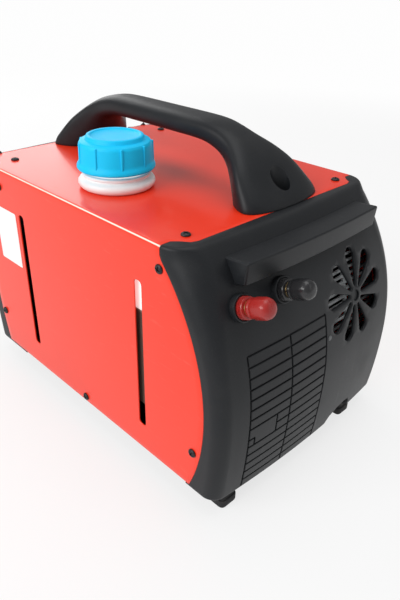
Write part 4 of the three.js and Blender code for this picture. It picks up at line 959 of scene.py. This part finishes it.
class Finish:
    """A material under construction, with a Principled shader and Object coordinates."""

    def __init__(self, name, **constants):
        self.material = bpy.data.materials.new(name)
        self.material.use_nodes = True
        self.tree = self.material.node_tree
        self.shader = next(n for n in self.tree.nodes if n.type == "BSDF_PRINCIPLED")
        self.place = self.node("ShaderNodeTexCoord", output="Object")
        for name, value in constants.items():
            self.shader.inputs[name.replace("_", " ")].default_value = value

    def node(self, kind, settings=None, sockets=None, output=0):
        node = self.tree.nodes.new(kind)
        for name, value in (settings or {}).items():
            setattr(node, name, value)
        for key, value in (sockets or {}).items():
            found = node.inputs[key] if isinstance(key, int) else next(
                s for s in node.inputs if s.identifier == key or (s.name == key and s.enabled))
            if isinstance(value, Value):
                self.tree.links.new(value.socket, found)
            else:
                found.default_value = value
        return Value(self, node.outputs[output])

    def noise(self, scale, detail=2.0, stretch=None):
        place = self.place
        if stretch:
            place = self.node("ShaderNodeMapping", None, {"Vector": place, "Scale": stretch})
        sockets = {"Vector": place, "Scale": scale, "Detail": detail}
        return self.node("ShaderNodeTexNoise", None, sockets, "Fac")

    def cells(self, scale, feature="F1"):
        return self.node("ShaderNodeTexVoronoi", {"feature": feature}, {"Vector": self.place, "Scale": scale},
                         "Distance")

    def axis(self, letter):
        return self.node("ShaderNodeSeparateXYZ", None, {"Vector": self.place}, letter)

    def mix(self, factor, first, second):
        sockets = {"Factor_Float": factor, "A_Color": colour4(first), "B_Color": colour4(second)}
        return self.node("ShaderNodeMix", {"data_type": "RGBA"}, sockets, 2)

    def bump(self, height, distance, strength=1.0):
        sockets = {"Height": height, "Distance": distance * MM, "Strength": strength}
        self.wire(Normal=self.node("ShaderNodeBump", None, sockets))

    def wire(self, **values):
        for name, value in values.items():
            self.tree.links.new(value.socket, self.shader.inputs[name.replace("_", " ")])
        return self.material


def colour4(value):
    return value if isinstance(value, Value) or len(value) == 4 else (*value, 1.0)


def srgb(red, green, blue):
    """A colour given as it looks on screen, 0 to 255, made linear."""
    def linear(c):
        c /= 255
        return c / 12.92 if c <= 0.04045 else ((c + 0.055) / 1.055) ** 2.4
    return (linear(red), linear(green), linear(blue))


def shaded(colour, factor):
    return tuple(min(c * factor, 1.0) for c in colour[:3])


# ------------------------------------------------------------------ finishes
def gloss_paint(name, colour, roughness):
    """Powder-coated sheet: a smooth skin with a painted highlight along the top folds, fine scuffs and a
    little dust.
    """
    f = Finish(name, Coat_Weight=0.3, Coat_Roughness=0.12, IOR=1.36)
    cloud = f.noise(9, 3)
    scuff = f.noise(60, 4, (1, 1, 6)).step(0.62, 0.78)
    dust = f.noise(2600, 1).step(0.7, 0.8)
    f.bump(f.noise(420, 1) * 0.8 + f.noise(1500, 1) * 0.2, 0.035)
    base = f.mix(cloud.step(0.35, 0.7), shaded(colour, 0.96), shaded(colour, 1.03))
    base = f.mix(scuff * 0.06, base, (0.9, 0.55, 0.45))
    side = f.axis("Y")
    # Painted highlight: a thin cream line along the crest of each top fold, standing in for the lamps' glint
    # there.
    along_fold = f.axis("Z") - side.math("MAXIMUM", side * -1)
    painted_fold_highlight = along_fold.step(FOLD_CREST - 1.2 * MM, FOLD_CREST - 0.5 * MM)
    painted_fold_highlight = painted_fold_highlight * (1 - along_fold.step(FOLD_CREST + 0.5 * MM, FOLD_CREST + 1.2 * MM))
    base = f.mix(painted_fold_highlight * 0.95, base, (1.0, 0.86, 0.74))
    return f.wire(Base_Color=f.mix(dust * 0.05, base, (0.9, 0.8, 0.75)),
                  Roughness=scuff * 0.12 + cloud * 0.05 + (roughness - 0.02))


def moulded_plastic(name, colour, roughness, grain=0.03, dust=0.10, scale=1500, **constants):
    """Moulded plastic with a fine grain, slight colour drift, handling marks and dust."""
    f = Finish(name, **constants)
    drift = f.noise(14, 3)
    fine = f.noise(scale, 2)
    specks = f.noise(1900, 0).step(0.72, 0.82)
    film = f.noise(30, 4).step(0.45, 0.8)
    rub = f.noise(45, 5, (5, 5, 1)).step(0.6, 0.75)
    f.bump(fine + f.cells(scale * 0.6) * 0.5, grain)
    base = f.mix(drift, shaded(colour, 0.88), shaded(colour, 1.12))
    base = f.mix(film * (dust * 0.35) + specks * dust, base, (0.52, 0.5, 0.48))
    return f.wire(Base_Color=base, Roughness=fine * 0.08 + rub * -0.07 + film * 0.06 + (roughness - 0.04))


def guard_bars(name, colour):
    """The grey guard behind the intake grille, painted near black as shade except for a lit patch at its upper
    corner on the tank's side.
    """
    f = Finish(name)
    # Painted light and shade: only the upper corner on the tank's side keeps the guard's grey, the rest is
    # painted near black as shade.
    painted_lit_patch = (1 - f.axis("Y").step(0.060, 0.068)) * f.axis("Z").step(0.128, 0.138)
    fine = f.noise(1500, 2)
    f.bump(fine, 0.04)
    painted_shade = f.mix(f.noise(90, 3), (0.008, 0.008, 0.009), (0.016, 0.016, 0.017))
    bright = f.mix(f.noise(70, 3), shaded(colour, 0.8), shaded(colour, 1.2))
    return f.wire(Base_Color=f.mix(painted_lit_patch, painted_shade, bright), Roughness=fine * 0.1 + 0.5)


def worn_metal(name, colour, roughness, brushed=None, dark=(0.05, 0.045, 0.04), metal=1.0):
    """Machined or plated metal with turning marks, stains and a patchy sheen."""
    f = Finish(name, Metallic=metal)
    lines = f.noise(900, 3, brushed or (1, 1, 1))
    stain = f.noise(120, 5).step(0.55, 0.85)
    f.bump(lines, 0.012)
    base = f.mix(f.noise(260, 2), shaded(colour, 0.85), shaded(colour, 1.1))
    return f.wire(Base_Color=f.mix(stain * 0.45, base, dark),
                  Roughness=lines * 0.18 + stain * 0.2 + (roughness - 0.1))


def cast_metal(name, colour):
    """Sand-cast aluminium: a pebbled skin, darker in its hollows."""
    f = Finish(name, Metallic=0.85)
    pebble = f.cells(900)
    f.bump(pebble + f.noise(1800, 2) * 0.6, 0.12)
    base = f.mix(f.noise(45, 4).step(0.3, 0.75), shaded(colour, 0.72), shaded(colour, 1.05))
    return f.wire(Base_Color=f.mix(pebble.step(0.5, 0.9) * 0.35, base, (0.06, 0.055, 0.05)),
                  Roughness=f.noise(400, 2) * 0.25 + 0.4)


def milky_tank(name, level):
    """Thin milky plastic: glowing with painted light where it is empty, amber grey where fuel stands behind
    it.
    """
    # The emission is painted light: the empty part of the tank glows as if lit through its wall.
    f = Finish(name, IOR=1.5, Subsurface_Weight=0.15, Subsurface_Scale=0.01, Emission_Strength=0.45)
    height = f.axis("Z")
    line = height + f.noise(40, 1) * 0.0006
    wet = 1 - line.step(level - 0.0008, level + 0.0004)
    rim = line.step(level - 0.004, level) * (1 - line.step(level, level + 0.0025))
    fine = f.noise(1300, 2)
    f.bump(fine, 0.03)
    base = f.mix(wet, f.mix(f.noise(18, 3), (0.84, 0.83, 0.78), (0.93, 0.92, 0.88)), (0.115, 0.078, 0.062))
    return f.wire(Base_Color=f.mix(rim * 0.35, base, (0.5, 0.42, 0.32)), Roughness=fine * 0.1 + 0.34,
                  Emission_Color=f.mix(wet, (0.95, 0.95, 0.93), (0.0, 0.0, 0.0)))


def soft_rubber(name):
    f = Finish(name, IOR=1.45)
    fine = f.noise(1100, 3)
    dust = f.noise(70, 4).step(0.45, 0.8)
    f.bump(fine + f.cells(700), 0.09)
    base = f.mix(f.noise(30, 2), (0.012, 0.012, 0.013), (0.022, 0.022, 0.023))
    return f.wire(Base_Color=f.mix(dust * 0.22, base, (0.32, 0.29, 0.25)),
                  Roughness=fine * 0.12 + dust * 0.08 + 0.68)


def circuit_board(name):
    """Green solder mask with tracks and pads."""
    f = Finish(name, Coat_Weight=0.3)
    tracks = f.cells(420, "DISTANCE_TO_EDGE").step(0.03, 0.06)
    pads = 1 - f.cells(260).step(0.12, 0.17)
    base = f.mix(tracks, (0.02, 0.14, 0.06), (0.01, 0.07, 0.03))
    f.bump(tracks, 0.05)
    return f.wire(Base_Color=f.mix(pads, base, (0.7, 0.66, 0.55)), Metallic=pads * 0.8,
                  Roughness=f.noise(500, 1) * 0.1 + 0.35)


def paper_plate(name):
    f = Finish(name, Coat_Weight=0.25, Coat_Roughness=0.3)
    fibre = f.noise(2400, 3)
    f.bump(fibre, 0.008)
    base = f.mix(f.noise(60, 3), (0.86, 0.86, 0.84), (0.92, 0.92, 0.91))
    return f.wire(Base_Color=base, Roughness=fibre * 0.1 + 0.36)


def display_glass(name):
    f = Finish(name, IOR=1.5, Coat_Weight=0.4)
    smear = f.noise(120, 4).step(0.5, 0.8)
    base = f.mix(smear * 0.1, (0.006, 0.008, 0.01), (0.05, 0.055, 0.06))
    return f.wire(Base_Color=base, Roughness=smear * 0.12 + 0.07)


def lit_figure(name):
    f = Finish(name, Emission_Strength=0.8)
    glow = f.mix(f.noise(700, 1), (0.75, 0.9, 1.0), (0.6, 0.82, 1.0))
    return f.wire(Base_Color=glow, Emission_Color=glow, Roughness=f.noise(900, 1) * 0.1 + 0.4)


# ------------------------------------------------------------------ settings
def colour_setting(name, description, default):
    return bpy.props.FloatVectorProperty(name=name, description=description, default=default,
                                         subtype="COLOR", size=3, min=0, max=1)


def length_setting(name, description, default, low, high):
    return bpy.props.FloatProperty(name=name, description=description, default=default * MM, min=low * MM,
                                   max=high * MM, unit="LENGTH")


class HeaterFinishSettings(bpy.types.PropertyGroup):
    cover: colour_setting("Cover paint", "Colour of the folded cover", srgb(242, 52, 20))
    plastic: colour_setting("Black plastic", "Colour of the end caps and the handle", srgb(29, 31, 34))
    filler: colour_setting("Filler cap", "Colour of the filler cap", srgb(8, 198, 255))
    post: colour_setting("Red terminal", "Colour of the red terminal's plastic", srgb(160, 36, 32))
    guard: colour_setting("Guard", "Colour of the guard behind the intake grille", srgb(186, 190, 192))
    gloss: bpy.props.FloatProperty(name="Paint roughness", description="Roughness of the cover's paint",
                                   default=0.34, min=0.05, max=0.9, subtype="FACTOR")


class HeaterSizeSettings(bpy.types.PropertyGroup):
    ribs: bpy.props.IntProperty(name="Cap ribs", description="Grip ribs round the filler cap", default=9,
                                min=3, max=40)
    screw_head: length_setting("Screw head", "Radius of a cover screw's head", 4.0, 2, 6)
    fuel_level: length_setting("Fuel level", "Height of the fuel above the floor", 171, 70, 226)


class HeaterStageSettings(bpy.types.PropertyGroup):
    floor: colour_setting("Floor", "Colour of the floor and backdrop", (0.88, 0.88, 0.88))
    key_power: bpy.props.FloatProperty(name="Key light", description="Power of the large soft light",
                                       default=26.0, min=0, max=400, unit="POWER")
    sky: bpy.props.FloatProperty(name="Sky", description="Strength of the even light all round",
                                 default=0.38, min=0, max=3)


FINISHES = {}


def settings(context):
    return context.scene.heater_finish, context.scene.heater_size, context.scene.heater_stage


def make_finishes(look, size):
    """Makes each material once, under the record's slot name."""
    if FINISHES:
        return FINISHES
    black = tuple(look.plastic)
    FINISHES.update(
        cover_paint=gloss_paint("cover_paint", tuple(look.cover), look.gloss),
        black_plastic=moulded_plastic("black_plastic", black, 0.42, 0.05, 0.03, IOR=1.33),
        core_plastic=moulded_plastic("core_plastic", (0.022, 0.022, 0.024), 0.55, 0.06),
        guard_plastic=guard_bars("guard_plastic", tuple(look.guard)),
        blue_plastic=moulded_plastic("blue_plastic", tuple(look.filler), 0.5, 0.02, 0.02, IOR=1.33),
        white_plastic=moulded_plastic("white_plastic", (0.92, 0.98, 0.98), 0.4, 0.02, 0.05),
        red_plastic=moulded_plastic("red_plastic", tuple(look.post), 0.3, 0.015, 0.04),
        post_black=moulded_plastic("terminal_black", (0.018, 0.018, 0.02), 0.22, 0.012, 0.04),
        button_plastic=moulded_plastic("button_plastic", (0.12, 0.125, 0.13), 0.5, 0.04),
        mark_white=moulded_plastic("mark_white", (0.8, 0.8, 0.78), 0.5, 0.01, 0.03),
        tank_plastic=milky_tank("tank_plastic", size.fuel_level),
        rubber=soft_rubber("rubber"),
        screw_black=worn_metal("screw_black", (0.035, 0.035, 0.038), 0.42, dark=(0.12, 0.1, 0.08), metal=0.7),
        steel=worn_metal("steel", (0.56, 0.57, 0.58), 0.34, (1, 8, 8)),
        pan_steel=worn_metal("pan_steel", (0.05, 0.052, 0.055), 0.5, dark=(0.1, 0.09, 0.08), metal=0.3),
        brass=worn_metal("brass", (0.78, 0.55, 0.24), 0.26, (1, 1, 8), (0.2, 0.13, 0.06)),
        cast_aluminium=cast_metal("cast_aluminium", (0.42, 0.42, 0.43)),
        board=circuit_board("board"),
        label=paper_plate("label_white"),
        glass=display_glass("display_glass"),
        figures=lit_figure("display_figures"),
    )
    return FINISHES


CARRIED = {
    "guard_plastic": ["intake_guard"],
    "pan_steel": ["base_pan"],
    "tank_plastic": ["fuel_tank"],
    "rubber": ["suction_line", "delivery_line"],
    "core_plastic": ["heater_casing_lower", "heater_casing_upper", "fan_wheel", "combustion_air_pipe"],
    "cast_aluminium": ["heat_exchanger", "combustion_impeller"],
    "steel": ["burner_tube", "glow_plug", "fan_motor", "rotor_shaft", "exhaust_pipe", "dosing_pump",
              "pump_plunger"],
    "board": ["control_board"],
    "black_plastic": ["outlet_grille"],
}
SOFT_EDGES = {"outlet_grille": 0.5, "intake_guard": 0.25, "fuel_tank": 1.0, "dosing_pump": 0.5,
              "fan_motor": 0.4, "exhaust_pipe": 0.4, "combustion_air_pipe": 0.5, "heater_casing_lower": 0.6,
              "heater_casing_upper": 0.6}


def pump_spring(material):
    """The pump's return spring, as a fixed coil; the real spring shortens as the plunger comes back."""
    count = SPRING["turns"] * SPRING["steps"]
    rings = []
    for step in range(count + 1):
        turn = 2 * math.pi * step / SPRING["steps"]
        out = Vector((0, math.cos(turn), math.sin(turn)))
        x = SPRING["start"] + (SPRING["end"] - SPRING["start"]) * step / count
        middle = Vector(at(x, SPRING["y"], SPRING["z"])) + out * SPRING["radius"] * MM
        rings.append([middle + (out * math.cos(a) + Vector((math.sin(a), 0, 0))) * SPRING["wire"] * MM
                      for a in angles(8)])
    obj = finished(loft("spring_wire", rings), "body", "steel", material, "pump_spring")
    at(SPRING["anchor"], SPRING["y"], SPRING["z"])
    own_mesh(obj)


def carry_over():
    """Gives the CAD nodes that stay their materials, welds their loose faces together and rounds the edges of
    some.
    """
    for slot, nodes in CARRIED.items():
        for name in nodes:
            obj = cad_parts[name]
            obj.data.materials.clear()
            obj.data.materials.append(FINISHES[slot])
            weld = obj.modifiers.new("Weld", "WELD")
            weld.merge_threshold = 0.002 * MM
            if name in SOFT_EDGES:
                bevel = obj.modifiers.new("Bevel", "BEVEL")
                bevel.width, bevel.segments = SOFT_EDGES[name] * MM, 2
                bevel.limit_method, bevel.angle_limit = "ANGLE", math.radians(38)
                bevel.harden_normals = True


# ------------------------------------------------------------------ operators
class HeaterOperator:
    bl_options = {"REGISTER", "UNDO"}

    def execute(self, context):
        look, size, _ = settings(context)
        self.build(make_finishes(look, size), look, size)
        return {"FINISHED"}


class HEATER_OT_cover(HeaterOperator, bpy.types.Operator):
    """Folds the painted cover, with its two level slots and the filler hole"""
    bl_idname = "heater.cover"
    bl_label = "Cover"

    def build(self, finishes, look, size):
        shell_cover(finishes["cover_paint"])


class HEATER_OT_intake_cap(HeaterOperator, bpy.types.Operator):
    """Moulds the intake end cap with its grille, louvres, visor and terminal bosses"""
    bl_idname = "heater.intake_cap"
    bl_label = "Intake end cap"

    def build(self, finishes, look, size):
        rear_cap(finishes["black_plastic"])
        face_plug(finishes["button_plastic"])


class HEATER_OT_outlet_cap(HeaterOperator, bpy.types.Operator):
    """Moulds the outlet end cap with its openings for the outlet and the controls"""
    bl_idname = "heater.outlet_cap"
    bl_label = "Outlet end cap"

    def build(self, finishes, look, size):
        front_cap(finishes["black_plastic"])


class HEATER_OT_handle(HeaterOperator, bpy.types.Operator):
    """Moulds the carry handle and sets its two screws"""
    bl_idname = "heater.handle"
    bl_label = "Carry handle"

    def build(self, finishes, look, size):
        carry_handle(finishes["black_plastic"])
        handle_screws(finishes["screw_black"])


class HEATER_OT_filler(HeaterOperator, bpy.types.Operator):
    """Turns the filler cap, its seal and the neck's white ring"""
    bl_idname = "heater.filler"
    bl_label = "Filler"

    def build(self, finishes, look, size):
        fuel_cap(finishes["blue_plastic"], size.ribs)
        neck_collar(finishes["white_plastic"])
        cap_liner(finishes["white_plastic"])


class HEATER_OT_terminals(HeaterOperator, bpy.types.Operator):
    """Turns the red and the black terminal"""
    bl_idname = "heater.terminals"
    bl_label = "Terminals"

    def build(self, finishes, look, size):
        terminals({"red": (finishes["red_plastic"], "red_plastic"),
                   "black": (finishes["post_black"], "black_plastic"), "brass": finishes["brass"]})


class HEATER_OT_fasteners(HeaterOperator, bpy.types.Operator):
    """Sets the cover's screws and the feet"""
    bl_idname = "heater.fasteners"
    bl_label = "Screws and feet"

    def build(self, finishes, look, size):
        cover_screws(finishes["screw_black"], size.screw_head / MM)
        feet(finishes["rubber"])


class HEATER_OT_controls(HeaterOperator, bpy.types.Operator):
    """Builds the control panel, its display and keys, and the bare plate on the tank side"""
    bl_idname = "heater.controls"
    bl_label = "Controls and plate"

    def build(self, finishes, look, size):
        control_panel(finishes["black_plastic"], finishes["glass"], finishes["figures"])
        keys(finishes["button_plastic"], finishes["mark_white"])
        blank_label(finishes["label"])


class HEATER_OT_inside(HeaterOperator, bpy.types.Operator):
    """Finishes the tank, the pump, the burner core and the other pieces the CAD shapes"""
    bl_idname = "heater.inside"
    bl_label = "Inside"

    def build(self, finishes, look, size):
        carry_over()
        pump_spring(finishes["steel"])


class HEATER_OT_stage(bpy.types.Operator):
    """Lays the floor, hangs the lights and sets the camera"""
    bl_idname = "heater.stage"
    bl_label = "Stage"
    bl_options = {"REGISTER", "UNDO"}

    def execute(self, context):
        look, size, stage = settings(context)
        lay_floor(stage)
        light(stage)
        set_camera(context.scene)
        return {"FINISHED"}


# ------------------------------------------------------------------ stage
def seen_directly(finish):
    """1 on rays from the camera, a mirror or glass."""
    paths = finish.tree.nodes.new("ShaderNodeLightPath")
    seen = Value(finish, paths.outputs["Is Camera Ray"])
    for name in ("Is Glossy Ray", "Is Transmission Ray"):
        seen = seen.math("MAXIMUM", Value(finish, paths.outputs[name]))
    return seen


def lay_floor(stage):
    bpy.ops.object.select_all(action="DESELECT")
    bpy.ops.mesh.primitive_plane_add(size=60)
    floor = named("floor")
    f = Finish("floor_pale", Roughness=0.85)
    f.wire(Base_Color=f.mix(f.noise(3, 2) * 0.1, tuple(stage.floor), (0.84, 0.84, 0.84)))
    glow = f.node("ShaderNodeEmission", None, {"Color": (1, 1, 1, 1), "Strength": 1.0})
    lit = Value(f, f.shader.outputs[0])
    x, y = f.axis("X"), f.axis("Y")
    far = (x * x + y * y).step(0.4, 4.0)
    mixed = f.node("ShaderNodeMixShader", None, {0: seen_directly(f) * (far * 0.24 + 0.74), 1: lit, 2: glow})
    output = next(n for n in f.tree.nodes if n.type == "OUTPUT_MATERIAL")
    f.tree.links.new(mixed.socket, output.inputs["Surface"])
    floor.data.materials.append(f.material)


def light(stage):
    world = bpy.data.worlds.new("studio")
    world.use_nodes = True
    bpy.context.scene.world = world
    tree = world.node_tree
    sky = tree.nodes["Background"]
    sky.inputs["Color"].default_value = (1, 1, 1, 1)
    paths = tree.nodes.new("ShaderNodeLightPath")
    strength = tree.nodes.new("ShaderNodeMapRange")
    strength.inputs["To Min"].default_value = stage.sky
    strength.inputs["To Max"].default_value = 1.0
    tree.links.new(paths.outputs["Is Camera Ray"], strength.inputs["Value"])
    tree.links.new(strength.outputs["Result"], sky.inputs["Strength"])
    for name, place, (width, height), share in LAMPS:
        lamp = bpy.data.lights.new(name, "AREA")
        lamp.shape, lamp.size, lamp.size_y = "RECTANGLE", width, height
        lamp.energy = stage.key_power * share
        obj = bpy.data.objects.new(name, lamp)
        bpy.context.scene.collection.objects.link(obj)
        obj.visible_camera = False
        obj.location = place
        obj.rotation_euler = (Vector(LAMP_AIM) - Vector(place)).to_track_quat("-Z", "Y").to_euler()


def set_camera(scene):
    azimuth, elevation, roll = (math.radians(CAMERA[name]) for name in ("azimuth", "elevation", "roll"))
    back = Vector((math.sin(azimuth) * math.cos(elevation), -math.cos(azimuth) * math.cos(elevation),
                   math.sin(elevation)))
    data = bpy.data.cameras.new("camera")
    data.sensor_width = 36
    data.lens = CAMERA["lens"]
    data.clip_start, data.clip_end = 0.02, 100
    camera = bpy.data.objects.new("camera", data)
    scene.collection.objects.link(camera)
    turn = (-back).to_track_quat("-Z", "Y").to_matrix().to_4x4() @ Matrix.Rotation(roll, 4, "Z")
    camera.matrix_world = Matrix.Translation(CAMERA["place"]) @ turn
    scene.camera = camera
    scene.view_settings.view_transform = "Standard"


class HEATER_PT_panel(bpy.types.Panel):
    bl_idname = "HEATER_PT_panel"
    bl_label = "Diesel air heater"
    bl_space_type = "VIEW_3D"
    bl_region_type = "UI"
    bl_category = "Heater"

    def draw(self, context):
        for group in settings(context):
            for name in group.bl_rna.properties.keys():
                if name not in ("rna_type", "name"):
                    self.layout.prop(group, name)
        for operator in OPERATORS:
            self.layout.operator(operator.bl_idname)


OPERATORS = (HEATER_OT_cover, HEATER_OT_intake_cap, HEATER_OT_outlet_cap, HEATER_OT_handle, HEATER_OT_filler,
             HEATER_OT_terminals, HEATER_OT_fasteners, HEATER_OT_controls, HEATER_OT_inside, HEATER_OT_stage)
GROUPS = {"heater_finish": HeaterFinishSettings, "heater_size": HeaterSizeSettings,
          "heater_stage": HeaterStageSettings}


def register():
    for cls in (*GROUPS.values(), *OPERATORS, HEATER_PT_panel):
        bpy.utils.register_class(cls)
    for name, group in GROUPS.items():
        setattr(bpy.types.Scene, name, bpy.props.PointerProperty(type=group))


def unregister():
    for name in GROUPS:
        delattr(bpy.types.Scene, name)
    for cls in reversed((*GROUPS.values(), *OPERATORS, HEATER_PT_panel)):
        bpy.utils.unregister_class(cls)


def main():
    register()
    for operator in OPERATORS:
        group, name = operator.bl_idname.split(".")
        getattr(getattr(bpy.ops, group), name)()


if __name__ == "__main__":
    main()
